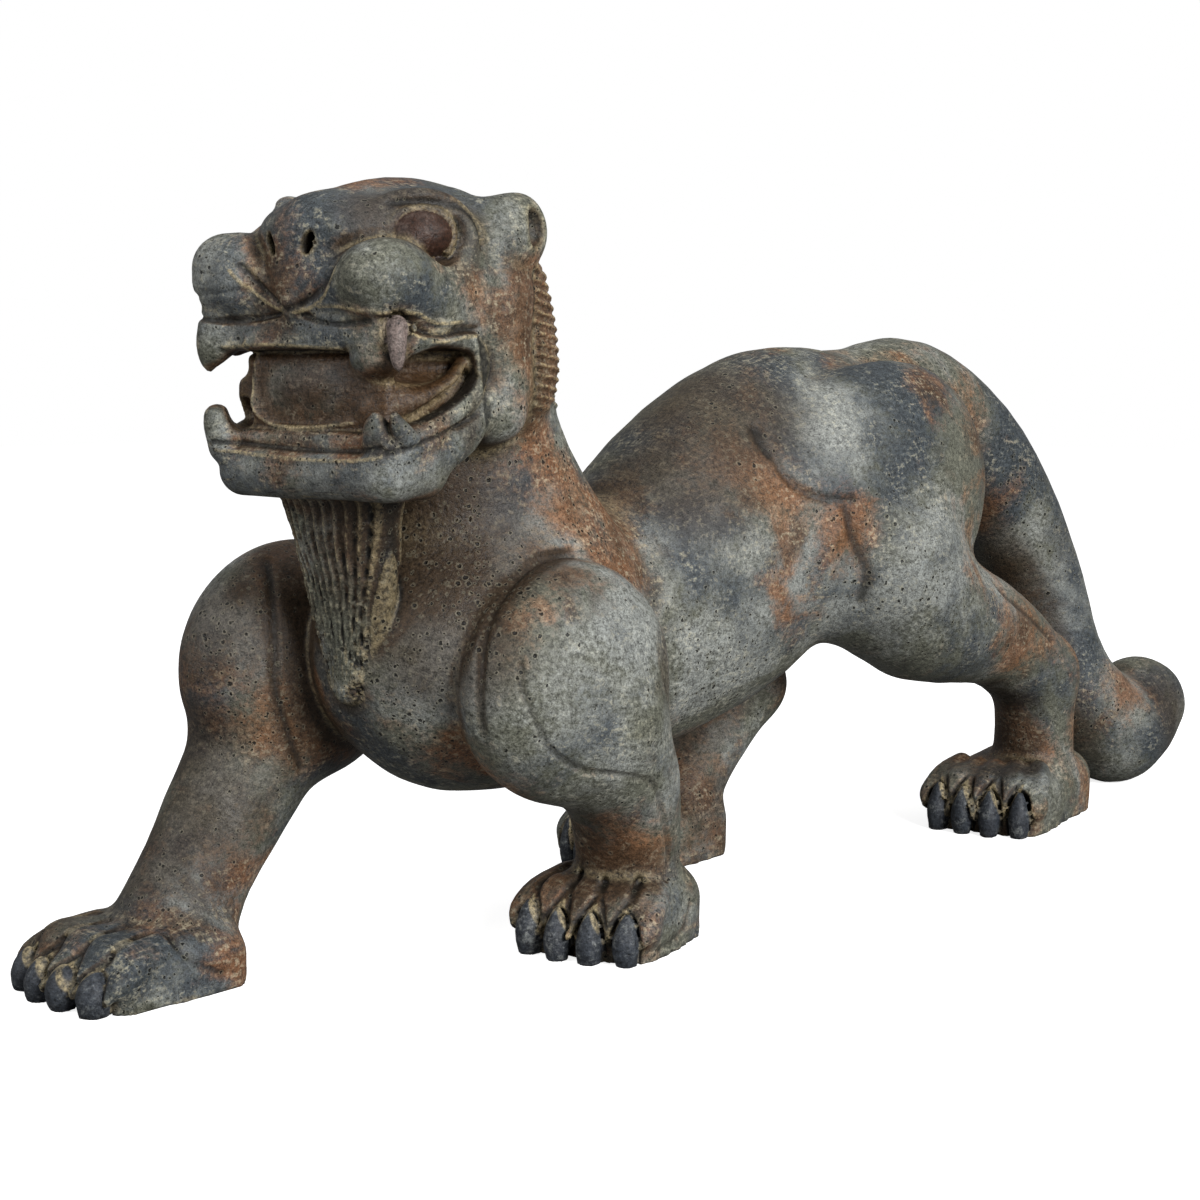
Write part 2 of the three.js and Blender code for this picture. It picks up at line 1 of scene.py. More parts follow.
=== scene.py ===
from concurrent.futures import ThreadPoolExecutor

import bpy
import numpy as np
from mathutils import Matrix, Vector


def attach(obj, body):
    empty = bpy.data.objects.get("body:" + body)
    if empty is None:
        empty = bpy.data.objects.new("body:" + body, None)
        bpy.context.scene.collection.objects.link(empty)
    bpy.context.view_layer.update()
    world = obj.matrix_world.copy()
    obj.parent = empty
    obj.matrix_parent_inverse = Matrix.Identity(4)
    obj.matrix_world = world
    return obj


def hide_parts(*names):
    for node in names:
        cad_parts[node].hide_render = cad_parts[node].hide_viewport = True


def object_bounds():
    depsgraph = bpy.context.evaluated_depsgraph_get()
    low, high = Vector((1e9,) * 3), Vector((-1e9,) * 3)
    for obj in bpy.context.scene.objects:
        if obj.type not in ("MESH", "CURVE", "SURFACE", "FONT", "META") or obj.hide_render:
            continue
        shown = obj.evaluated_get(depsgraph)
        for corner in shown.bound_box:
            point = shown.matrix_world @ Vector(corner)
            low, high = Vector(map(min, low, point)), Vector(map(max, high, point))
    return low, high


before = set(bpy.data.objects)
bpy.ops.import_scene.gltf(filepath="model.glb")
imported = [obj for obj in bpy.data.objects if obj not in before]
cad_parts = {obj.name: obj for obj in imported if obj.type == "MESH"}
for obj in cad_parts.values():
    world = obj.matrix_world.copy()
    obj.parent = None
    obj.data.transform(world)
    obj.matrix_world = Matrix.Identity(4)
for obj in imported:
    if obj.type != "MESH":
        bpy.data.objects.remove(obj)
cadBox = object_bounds()

# The lion is shaped in millimetres like clay: masses are pressed together or cut away in order,
# then lines are carved. It faces -Y, its left side is +X and its soles are on z = 0.
toOrigin = (3.7, -7.0, 0.0)
print("frame loaded")


def turnMatrix(turn):
    a, b, c = np.radians(turn)
    ca, sa, cb, sb, cc, sc = np.cos(a), np.sin(a), np.cos(b), np.sin(b), np.cos(c), np.sin(c)
    aboutX = np.array([[1, 0, 0], [0, ca, -sa], [0, sa, ca]])
    aboutY = np.array([[cb, 0, sb], [0, 1, 0], [-sb, 0, cb]])
    aboutZ = np.array([[cc, -sc, 0], [sc, cc, 0], [0, 0, 1]])
    return (aboutZ @ aboutY @ aboutX).astype(np.float32)


def rowLength(rows):
    return np.sqrt(np.einsum("ij,ij->i", rows, rows))


def egg(centre, radii, turn=(0, 0, 0)):  # a ball stretched by its three radii
    middle = np.array(centre, np.float32)
    size = np.array(radii, np.float32)
    axes = turnMatrix(turn)

    def distance(points):
        local = (points - middle) @ axes / size
        near = rowLength(local)
        steep = rowLength(local / size)
        return near * (near - 1) / np.maximum(steep, 1e-6)
    return middle, float(max(radii)), distance


def block(centre, half, edge, turn=(0, 0, 0)):  # a block with rounded edges
    middle = np.array(centre, np.float32)
    inner = np.array(half, np.float32) - edge
    axes = turnMatrix(turn)

    def distance(points):
        over = np.abs((points - middle) @ axes) - inner
        outside = rowLength(np.maximum(over, 0))
        return outside + np.minimum(over.max(1), 0) - edge
    return middle, float(np.linalg.norm(half)), distance


def smoothPath(nodes, steps=3):  # a curve through all nodes, their fourth value with it
    nodes = np.array(nodes, float)
    ends = np.vstack([2 * nodes[0] - nodes[1], nodes, 2 * nodes[-1] - nodes[-2]])
    path = []
    for i in range(1, len(nodes)):
        before, start, end, after = ends[i - 1], ends[i], ends[i + 1], ends[i + 2]
        for s in range(steps):
            t = s / steps
            bend = 2 * before - 5 * start + 4 * end - after
            twist = 3 * start - before - 3 * end + after
            path.append(0.5 * (2 * start + (end - before) * t + bend * t * t + twist * t ** 3))
    path.append(nodes[-1])
    return np.array(path, np.float32)


def limb(nodes, slim=(1, 1, 1), steps=3):  # a round bar of changing radius along its nodes
    path = smoothPath(nodes, steps)
    thin = np.array(slim, np.float32)
    low = (path[:, :3] - path[:, 3:]).min(0)
    high = (path[:, :3] + path[:, 3:]).max(0)

    def distance(points):
        best = None
        for start, end in zip(path[:-1], path[1:]):
            along = end[:3] - start[:3]
            long = max(float(np.sqrt(along @ along)), 1e-4)
            grow = float(end[3] - start[3])
            out = points - start[:3]
            t = out @ along / long ** 2
            if abs(grow) > 0.03 * long:  # the nearest spot on a cone lies a little further along
                off = rowLength(out - t[:, None] * along)
                t = t + grow * off / (np.sqrt(max(long ** 2 - grow ** 2, 0.1 * long ** 2)) * long)
            t = np.clip(t, 0, 1)
            reach = rowLength((out - t[:, None] * along) / thin) - (start[3] + t * grow)
            best = reach if best is None else np.minimum(best, reach)
        return best * float(min(slim))
    return (low + high) / 2, float(np.linalg.norm(high - low) / 2), distance


class Clay:
    # how far each point lies outside the clay, below zero inside, and how much of each named
    # part (claws, teeth, tongue and so on) it belongs to
    def __init__(self, points, margin, parts):
        self.world = points
        self.local = points
        self.margin = margin
        self.depth = np.full(len(points), 1e3, np.float32)
        self.parts = {name: np.zeros(len(points), np.float32) for name in parts}

    def turnTo(self, pivot=(0, 0, 0), turn=(0, 0, 0), mirrored=False):
        pivot = np.array(pivot, np.float32)
        self.local = self.world
        if any(turn):
            self.local = (self.world - pivot) @ turnMatrix(turn) + pivot
        if mirrored:
            self.local = self.local.copy()
            self.local[:, 0] = np.abs(self.local[:, 0])

    def near(self, centre, reach):
        out = self.local - centre
        return np.nonzero(np.einsum("ij,ij->i", out, out) < reach * reach)[0]

    def press(self, form, blend, sign, part, soft):
        centre, reach, distance = form
        at = self.near(centre, reach + blend + self.margin)
        if not len(at):
            return
        away = distance(self.local[at])
        if part in self.parts:
            self.claim(part, at, np.clip(1 - away / soft, 0, 1))
        other = sign * away
        old = self.depth[at]
        overlap = np.maximum(blend - np.abs(old - other), 0) / blend if blend else 0
        softened = overlap * overlap * blend / 4
        if sign > 0:
            self.depth[at] = np.minimum(old, other) - softened
        else:
            self.depth[at] = np.maximum(old, other) + softened

    def add(self, form, blend=8.0, part=None, soft=2.0):
        self.press(form, blend, 1, part, soft)

    def cut(self, form, blend=3.0, part=None, soft=2.0):
        self.press(form, blend, -1, part, soft)

    def line(self, nodes, wide, deep, flat=None, between=None, steps=4, part=None):
        # a line pressed in (deep above 0) or raised (below 0) along its nodes; flat is an axis
        # that is not looked at, so that the line falls on whatever skin lies between two values
        path = smoothPath(nodes, steps)
        kept = [k for k in range(3) if k != flat]
        low = path.min(0) - 3 * wide
        high = path.max(0) + 3 * wide
        if flat is not None:
            low[flat], high[flat] = between
        at = np.nonzero(np.all((self.local > low) & (self.local < high), axis=1))[0]
        if not len(at):
            return
        points = self.local[at][:, kept]
        route = path[:, kept]
        best = None
        for start, end in zip(route[:-1], route[1:]):
            along = end - start
            out = points - start
            t = np.clip(out @ along / max(float(along @ along), 1e-9), 0, 1)
            off = out - t[:, None] * along
            gap = np.einsum("ij,ij->i", off, off)
            best = gap if best is None else np.minimum(best, gap)
        share = np.exp(-best / (wide * wide))
        if flat is not None:
            room = np.minimum(self.local[at, flat] - between[0], between[1] - self.local[at, flat])
            share = share * np.clip(room / 4, 0, 1)
        self.depth[at] += deep * share
        self.claim(part, at, share)

    def claim(self, part, at, share):
        if part in self.parts:
            self.parts[part][at] = np.maximum(self.parts[part][at], share)

    def inside(self, low, high):
        return np.nonzero(np.all((self.local > low) & (self.local < high), axis=1))[0]


# Smooth uneven hills from a seeded lattice of random heights
def hills(points, pitch, seed):
    rng = np.random.default_rng(seed)
    lattice = rng.uniform(-1, 1, (64, 64, 64)).astype(np.float32)
    at = points / pitch + 500
    cell = np.floor(at).astype(np.int32)
    t = at - cell
    t = (t * t * (3 - 2 * t)).astype(np.float32)
    total = np.zeros(len(points), np.float32)
    for a in (0, 1):
        for b in (0, 1):
            for c in (0, 1):
                weight = (t[:, 0] if a else 1 - t[:, 0]) * (t[:, 1] if b else 1 - t[:, 1])
                weight = weight * (t[:, 2] if c else 1 - t[:, 2])
                i, j, k = ((cell + (a, b, c)) % 64).T
                total += weight * lattice[i, j, k]
    return total


trunk = {
    "slim": (0.8, 1, 1),
    "spine": [(0, -235, 160, 68), (0, -190, 155, 70), (0, -135, 157, 71), (0, -85, 171, 81),
              (0, -30, 198, 92.5), (0, 30, 228, 91), (0, 85, 234, 84), (0, 125, 240, 72)],
    "chest": ((0, -230, 163), (82, 90, 72)),
    "neck": [(0, -205, 180, 80), (0, -228, 238, 63), (0, -240, 290, 54), (0, -250, 330, 48)],
}


def shapeTrunk(clay):
    clay.add(limb(trunk["spine"], trunk["slim"]), 0)
    clay.add(egg(*trunk["chest"]), 20)
    clay.add(limb(trunk["neck"], trunk["slim"]), 16)


legs = {
    "leftHaunch": ((52, 74, 226), (46, 112, 86), (12, 0, 0)),
    "leftThigh": [(64, 58, 193, 50), (66, 104, 157, 46), (68, 190, 132, 34), (72, 246, 98, 29)],
    "leftHock": [(72, 246, 100, 29), (70, 250, 62, 27), (68, 252, 28, 28)],
    "rightHaunch": ((-52, 60, 216), (46, 108, 82), (-6, 0, 0)),
    "rightThigh": [(-62, 0, 170, 48), (-62, 38, 130, 38), (-50, 74, 102, 28)],
    "rightHock": [(-50, 77, 100, 27), (-48, 35, 66, 24), (-48, 2, 34, 26)],
    "leftShoulder": ((70, -233, 150), (41, 68, 62)),
    "leftFore": [(72, -222, 130, 42), (68, -188, 92, 32), (60, -172, 50, 28), (59, -172, 24, 28)],
    "rightShoulder": ((-78, -284, 152), (44, 71, 66)),
    "rightFore": [(-80, -298, 124, 36), (-80, -324, 90, 33), (-79, -352, 52, 29), (-76, -369, 28, 31)],
}


def shapeLegs(clay):
    clay.add(egg(*legs["leftHaunch"]), 10)
    clay.add(limb(legs["leftThigh"]), 14)
    clay.add(limb(legs["leftHock"]), 8)
    clay.add(egg(*legs["rightHaunch"]), 10)
    clay.add(limb(legs["rightThigh"]), 14)
    clay.add(limb(legs["rightHock"]), 8)
    clay.add(egg(*legs["leftShoulder"]), 4)
    clay.add(limb(legs["leftFore"]), 12)
    clay.add(egg(*legs["rightShoulder"]), 4)
    clay.add(limb(legs["rightFore"]), 12)


tail = {
    "bar": [(0, 110, 268, 44), (2, 168, 286, 42), (6, 216, 276, 39), (12, 262, 243, 39),
            (18, 301, 197, 38), (26, 328, 148, 35), (36, 340, 102, 33), (45, 360, 64, 37),
            (54, 394, 40, 40.6)],
    "tip": [(54, 394, 40, 40.6), (57, 416, 44, 37), (58, 431, 55, 35)],
}


def shapeTail(clay):
    clay.add(limb(tail["bar"]), 14)
    clay.add(limb(tail["tip"]), 4)


paws = {
    "stand": [  # x, y, turn, width, length, height of the knuckles, height of the top
        (56, -185, 14, 81, 98, 27, 40),
        (-76, -401, -4, 88, 104, 20, 33),
        (62, 231, 10, 80, 143, 31, 42),
        (-50, -28, 0, 66, 114, 31, 40)],
    "toeGap": 0.235, "claw": 0.40, "edge": 19, "below": 18, "step": 4.5, "sides": (-1.5, -0.5, 0.5, 1.5),
}


def shapePaw(clay, x, y, turn, wide, long, knuckle, top):
    # a low rounded block; folds of skin run down between four claws that are shaped like drops
    clay.turnTo((x, y, 0), (0, 0, turn))
    gap = wide * paws["toeGap"]
    claw = gap * paws["claw"]

    def spot(side, back, height, inward=1.0):
        return (x + side * gap * inward, y - long / 2 + abs(side) * paws["step"] + back, knuckle * height)

    half = (wide / 2, long / 2 - 8, (top + paws["below"]) / 2)
    clay.add(block((x, y + 8, (top - paws["below"]) / 2), half, paws["edge"]), 10)
    bar = [(*spot(side, 17, 0.66), knuckle * 0.36) for side in (-1.8, -1, 0, 1, 1.8)]
    clay.add(limb(bar), 5)
    for side in (-2, -1, 0, 1, 2):
        fold = [(*spot(side, 46, 1.22, 0.72), 8), (*spot(side, 28, 1.06, 0.9), 7.5),
                (*spot(side, 14, 0.8), 5.5), (*spot(side, 7.5, 0.5), 2.6), (*spot(side, 6.5, 0.34), 1.2)]
        clay.add(limb(fold), 3)
    for side in paws["sides"]:  # a crease runs up and back from each claw
        rise = [spot(side, 7, 0.95), spot(side, 14, 1.2), spot(side, 24, 1.35, 0.92),
                spot(side, 44, 1.55, 0.75)]
        clay.line(rise, 2.6, 3.4, part="crease")
    zigzag = []
    for k in range(-3, 4):
        zigzag.append(spot(k / 2, 0, 0.46 if k % 2 == 0 else 1.1))
    between = (y - long / 2 - 5, y - long / 2 + 26)
    clay.line(zigzag, 1.5, -1.3, flat=1, between=between, steps=1, part="edge")
    above = [(a, b, c + knuckle * 0.24) for a, b, c in zigzag]
    clay.line(above, 1.4, 1.7, flat=1, between=between, steps=1, part="crease")
    for side in paws["sides"]:
        drop = [(*spot(side, 10.5, 1.06), 0.3), (*spot(side, 9, 0.82), claw * 0.6),
                (*spot(side, 8, 0.42), claw), (*spot(side, 9, 0.05), claw * 0.8)]
        clay.cut(limb([(*node[:3], node[3] + 1.1) for node in drop]), 0.8, "crease")
        clay.add(limb(drop), 0.4, "claw")
    clay.turnTo()


head = {
    "pivot": (0, -200, 0), "turn": (0, 0, 5),
    "skull": ((0, -276, 350), (60, 67, 48)),
    "forehead": ((0, -300, 350), (54, 42, 43), 28),
    "nape": [(0, -250, 366, 28), (0, -245, 345, 38), (0, -242, 315, 41), (0, -243, 297, 39),
             (0, -240, 282, 28)],
    "napeWide": (1.35, 1, 1),
    "muzzle": ((0, -324, 346), (61, 38, 18), 14),
    "gum": ((0, -322, 326), (59, 40, 9.5), 6),
    "noseBridge": [(0, -345, 371, 20), (0, -318, 371.5, 25.5), (0, -296, 374.5, 26.5), (0, -266, 374, 26)],
    "mouth": ((0, -345, 298), (90, 49, 18.5), 9),
    "jaw": ((0, -338, 260), (59, 25, 14), 12.5),
    "lowerGum": ((0, -336, 271), (50, 22, 8), 4),
    "jawSide": [(46, -345, 262, 12), (49, -325, 268, 13), (49, -306, 277, 13), (48, -292, 290, 12)],
    "lipRim": [(50, -350, 270, 11), (55, -337, 275.5, 8.5), (57, -322, 284, 6.2), (58, -307, 292.5, 5.4),
               (58, -297.5, 301, 4.8), (58, -295, 311, 4.5), (58, -300, 319, 4.5), (58, -313, 322.5, 4.5),
               (58, -330, 322, 4.8), (57, -344, 319, 5)],
    "tongue": ((0, -317, 296), (50, 36.5, 20), 6),
    "tongueSwell": ((0, -321, 299), (46, 37, 24)),
    "tongueSide": [(36, -348, 289, 7), (46, -341, 292, 6.5), (52, -326, 296, 5), (53, -311, 303, 4),
                   (51, -299, 312, 3.5)],
    "tongueHollow": ((49, -329, 309.5), (11, 31, 7.5)),
    "lipGap": [(58, -347, 283.5, 1.2), (58, -334, 287.5, 2.3), (58, -321, 293.5, 3.0), (58, -310, 299, 3.1),
               (57, -302, 306, 2.6)],
    "lipGapWide": (3.2, 1, 1),
    "eyeTurn": (0, 0, -35),
    "brow": ((42.5, -320, 370), (24.5, 17.5), (-25, 165), 5.6),
    "socket": ((54, -325, 371), (10, 20, 15.8)),
    "eyeBall": ((45.3, -322.3, 371), (13, 15.5, 11.6)),
    "lid": ((47.5, -323.7, 371), (15.5, 12.8), (-40, 175), 2.3),
    "eyeArc": [(0, -362, 370), (0, -353, 377.5), (0, -339, 384), (0, -321, 386.4), (0, -306, 383.8),
               (0, -299, 375.8), (0, -296, 366)],
    "earRoot": [(44, -287, 370, 12), (51, -272, 375, 16)],
    "ear": ((54, -260, 375), (14, 20, 19), (0, 0, 20)),
    "earHollow": ((66, -262, 376.5), (6, 7.5, 8.5)),
    "strap": ((46, -273, 315), (17, 17, 43), 15),
    "cheekGroove": [(63, -299, 324, 1.8), (64, -296, 313, 3.2), (64, -294.5, 303, 3.8), (64, -293, 293, 4),
                    (64, -291.5, 284, 3.8), (62, -289, 274, 2.6)],
    "nostril": ((11.5, -360, 366.5), (2.4, 9, 5.6), (0, 20, 0)),
    "noseBall": ((0, -328, 371.5), (42, 38, 21)),
    "noseWedge": [(0, -339, 361, 27), (0, -347, 352, 20), (0, -354, 345, 13), (0, -360, 340, 7)],
    "noseWide": (1.12, 1, 1),
    "philtrum": [(0, -362, 338, 4.5), (0, -358, 331, 4)],
}
nearSide = {  # forms of the left side of the face, which differs a little from the right
    "pad": ((48, -350, 350), (20, 23, 17.6)),
    "padInner": ((31, -337, 346), (21, 27, 15)),
    "padBack": ((50, -330, 342), (12, 26, 12)),
    "gumSwell": ((43, -351, 314), (15, 12, 11)),
    "fangRoot": ((61, -354.5, 327), (6.5, 6.5, 6)),
    "fang": [(58.5, -355, 328, 5.2), (60.5, -357, 320, 4.6), (61.5, -358, 312, 3.3),
             (61.5, -357.5, 307.5, 1.3)],
    "pegs": [[(46, -352, 272, 10), (48, -358, 281, 6.2), (50.5, -361, 286.5, 2.6)],
             [(57, -347, 273.5, 7), (58.5, -354, 281, 4.6), (59, -358, 287, 2.2)]],
}
farSide = {
    "pad": ((-44, -343, 353.5), (22, 32, 20.5), 18),
    "padInner": ((-32, -331, 350), (19, 24, 17)),
    "fang": [(-52, -357, 329, 12.5), (-54.5, -360, 320, 9.5), (-57.5, -361, 312.5, 5),
             (-58.5, -360.5, 308, 1.8)],
    "peg": [(-51, -357, 271, 10), (-53, -360, 280, 8.2), (-53.5, -361, 284.5, 7)],
    "pegHollow": ((-43, -352, 287), (7, 8, 7)),
}


def ring(centre, radii, angles, thick):  # nodes of a bar that runs round the eye
    _, along, up = turnMatrix(head["eyeTurn"]).T
    nodes = []
    for angle in np.radians(np.linspace(*angles, 8)):
        at = np.array(centre) + radii[0] * np.cos(angle) * along + radii[1] * np.sin(angle) * up
        nodes.append((*at, thick))
    return nodes


def shapeHead(clay):
    clay.turnTo(head["pivot"], head["turn"], mirrored=True)
    clay.add(egg(*head["skull"]), 14)
    clay.add(block(*head["forehead"]), 16)
    clay.add(limb(head["nape"], head["napeWide"]), 6)
    clay.add(block(*head["strap"]), 16)
    clay.add(limb(head["earRoot"]), 9)
    clay.add(block(*head["muzzle"]), 10)
    clay.add(block(*head["gum"]), 4)
    clay.add(limb(head["noseBridge"]), 8)
    clay.cut(block(*head["mouth"]), 3)
    clay.add(block(*head["jaw"]), 5)
    clay.add(limb(head["jawSide"]), 6)
    clay.add(block(*head["lowerGum"]), 2)
    clay.add(block(*head["tongue"]), 3, "tongue")
    clay.add(egg(*head["tongueSwell"]), 5, "tongue")
    clay.cut(egg(*head["tongueHollow"]), 4, "tongue")
    clay.add(limb(head["tongueSide"]), 4, "tongue")
    clay.add(limb(head["lipRim"]), 3)
    clay.cut(limb(head["lipGap"], head["lipGapWide"]), 1.5, "crease")
    clay.cut(limb(head["cheekGroove"]), 2.5, "crease")
    clay.add(limb(ring(*head["brow"])), 8)
    clay.cut(egg(*head["socket"], head["eyeTurn"]), 2)
    clay.add(limb(ring(*head["lid"])), 1.5)
    clay.add(egg(*head["eyeBall"], head["eyeTurn"]), 0.5, "eye")
    clay.line(head["eyeArc"], 2.2, 1.8, flat=0, between=(34, 78), part="crease")
    clay.add(egg(*head["ear"]), 8)
    clay.cut(egg(*head["earHollow"]), 3, "crease")
    clay.turnTo(head["pivot"], head["turn"])
    clay.add(egg(*nearSide["padInner"]), 4)
    clay.add(egg(*nearSide["pad"]), 10)
    clay.add(egg(*nearSide["padBack"]), 10)
    clay.add(egg(*nearSide["gumSwell"]), 4)
    clay.add(egg(*nearSide["fangRoot"]), 3)
    clay.add(egg(*farSide["padInner"]), 4)
    clay.add(block(*farSide["pad"]), 8)
    clay.add(limb(farSide["fang"]), 5)
    clay.add(limb(farSide["peg"]), 3)
    clay.cut(egg(*farSide["pegHollow"]), 3, "crease")
    for peg in nearSide["pegs"]:
        clay.add(limb(peg), 1.5)
    carveLips(clay)
    clay.turnTo(head["pivot"], head["turn"], mirrored=True)
    clay.add(egg(*head["noseBall"]), 4)
    clay.add(limb(head["noseWedge"], head["noseWide"]), 3)
    clay.add(limb(head["philtrum"]), 4)
    carveNose(clay)
    carveNape(clay)
    clay.turnTo(head["pivot"], head["turn"])
    clay.cut(limb([(*node[:3], node[3] + 1.2) for node in nearSide["fang"]]), 0.8, "crease")
    clay.add(limb(nearSide["fang"]), 0.4, "tooth")
    clay.turnTo()


lips = {  # x and z nodes seen from the front, y and z nodes seen from the side
    "nearCrease": [(3, 0, 336), (9, 0, 332.5), (16, 0, 330), (26, 0, 329), (38, 0, 329), (48, 0, 330)],
    "farCrease": [(-3, 0, 336), (-10, 0, 334), (-22, 0, 332), (-38, 0, 331), (-50, 0, 331.5),
                  (-64, 0, 334)],
    "sideCrease": [(0, -366, 330), (0, -354, 331.5), (0, -346, 329.5), (0, -338, 325.5),
                   (0, -326, 323.8), (0, -310, 326.6), (0, -300, 327)],
    "sideRim": [(0, -350, 326.5), (0, -340, 322), (0, -327, 320.5), (0, -311, 323), (0, -300, 323.8)],
    "nearFold": [(16, 0, 337), (24, 0, 337.2), (34, 0, 336.2), (48, 0, 334)],
    "sideFold": [(0, -366, 333.5), (0, -352, 333.7), (0, -343.5, 333.2), (0, -335, 330.4),
                 (0, -325, 329.2), (0, -311, 330.3)],
    "farFold": [(-24, 0, 346), (-34, 0, 344.3), (-49, 0, 343.5), (-66, 0, 343)],
    "gumEdge": [(-44, 0, 318.5), (-30, 0, 319.5), (-15, 0, 319.5), (8, 0, 318.5), (28, 0, 317)],
    "jawRim": [(-50, 0, 269), (-23, 0, 267), (8, 0, 265.6), (38, 0, 265.9), (53, 0, 267.8)],
    "jawCrease": [(-52, 0, 273.2), (-23, 0, 271.3), (8, 0, 270), (38, 0, 270.3), (52, 0, 272)],
    "jawSide": [(0, -362, 269.5), (0, -352, 271.5), (0, -340, 275), (0, -326, 279), (0, -312, 282.5),
                (0, -300, 287)],
    "tongueRim": [(-31, 0, 322), (-34, 0, 311), (-35.5, 0, 300), (-35, 0, 291), (-31, 0, 285),
                  (-22, 0, 281.5), (-8, 0, 280.6), (8, 0, 281), (30, 0, 283)],
    "front": (-400, -331), "side": (50, 90),
}


def carveLips(clay):
    front, side = lips["front"], lips["side"]
    for name in ("nearCrease", "farCrease"):
        clay.line(lips[name], 1.6, 1.9, flat=1, between=front, part="crease")
    clay.line(lips["sideCrease"], 1.5, 1.6, flat=0, between=side, part="crease")
    for name in ("nearFold", "gumEdge", "jawRim"):
        clay.line(lips[name], 1.3, -1.1, flat=1, between=front, part="edge")
    for name in ("sideFold", "sideRim"):
        clay.line(lips[name], 1.3, -1.0, flat=0, between=side, part="edge")
    clay.line(lips["farFold"], 1.6, 1.0, flat=1, between=front)
    clay.line(lips["jawCrease"], 1.6, 1.3, flat=1, between=front, part="crease")
    clay.line(lips["jawSide"], 1.6, 1.5, flat=0, between=side, part="crease")
    clay.line(lips["tongueRim"], 1.1, -1.3, flat=1, between=front, part="edge")


nose = {
    "moat": [(0, 0, 336), (6, 0, 338), (12, 0, 341.5), (18.5, 0, 345.5), (24, 0, 351.5), (28, 0, 357)],
    "edge": [(3, 0, 334.5), (9, 0, 336), (16, 0, 339), (21.5, 0, 343), (27, 0, 349), (31, 0, 354.5)],
    "front": (-400, -344),
}


def carveNose(clay):
    clay.line(nose["moat"], 1.7, 1.5, flat=1, between=nose["front"], part="crease")
    clay.line(nose["edge"], 1.3, -0.6, flat=1, between=nose["front"], part="edge")
    clay.cut(egg(*head["nostril"]), 1, "crease")


nape = {"low": 284, "high": 362, "pitch": 5.2, "deep": 1.3,
        "edge": -250, "back": -170, "lean": 0.12, "lift": 1.2}


def carveNape(clay):  # a raised band of thin level ribs across the back of the neck
    at = clay.inside((-100, nape["edge"] - 10, nape["low"] - 6), (100, nape["back"], nape["high"] + 6))
    x, y, z = clay.local[at].T
    edge = nape["edge"] + 0.35 * (50 - np.abs(x)) * 0.5 - 0.1 * (z - 320)
    ends = np.minimum(z - nape["low"], nape["high"] - z)
    fade = np.clip((y - edge) / 3, 0, 1) * np.clip(ends / 5, 0, 1)
    rib = 0.5 + 0.5 * np.cos(2 * np.pi * (z + nape["lean"] * y) / nape["pitch"])
    clay.depth[at] -= fade * (nape["lift"] + nape["deep"] * (rib - 0.5))
    clay.claim("edge", at, fade * rib ** 3)
    clay.claim("crease", at, fade * 0.6 * np.clip(1 - 3 * rib, 0, 1))
    clay.claim("crease", at, np.clip(1 - np.abs(y - edge) / 2.2, 0, 1) * np.clip(ends / 5, 0, 1))


beard = {
    "bar": [(0, -320, 252, 39), (0, -318, 234, 34), (0, -314, 200, 29), (0, -314, 168, 20.5),
            (0, -318, 152, 12)],
    "flat": (1, 0.5, 1),
    "locks": 11, "low": 141, "high": 256, "deep": 2.6, "front": -306, "tipHalf": 11, "topHalf": 42,
    "waver": 0.06,
}


def shapeBeard(clay):
    clay.add(limb(beard["bar"], beard["flat"]), 2)
    at = clay.inside((-62, -380, beard["low"]), (62, beard["front"], beard["high"]))
    x, y, z = clay.local[at].T
    height = (z - beard["low"]) / (beard["high"] - beard["low"])
    half = beard["tipHalf"] + (beard["topHalf"] - beard["tipHalf"]) * height ** 1.15
    across = x / half + beard["waver"] * hills(clay.local[at] * (0.5, 0, 1), 17, 5)
    strand = np.abs(np.cos(0.5 * np.pi * beard["locks"] * across))
    fade = np.clip((1.02 - np.abs(across)) / 0.1, 0, 1) * np.clip((z - beard["low"]) / 6, 0, 1)
    clay.depth[at] += beard["deep"] * fade * (0.6 - strand)
    clay.claim("crease", at, fade * np.clip(1 - 2.2 * strand, 0, 1))
    clay.claim("edge", at, 0.75 * fade * np.clip(6 * strand - 5, 0, 1))


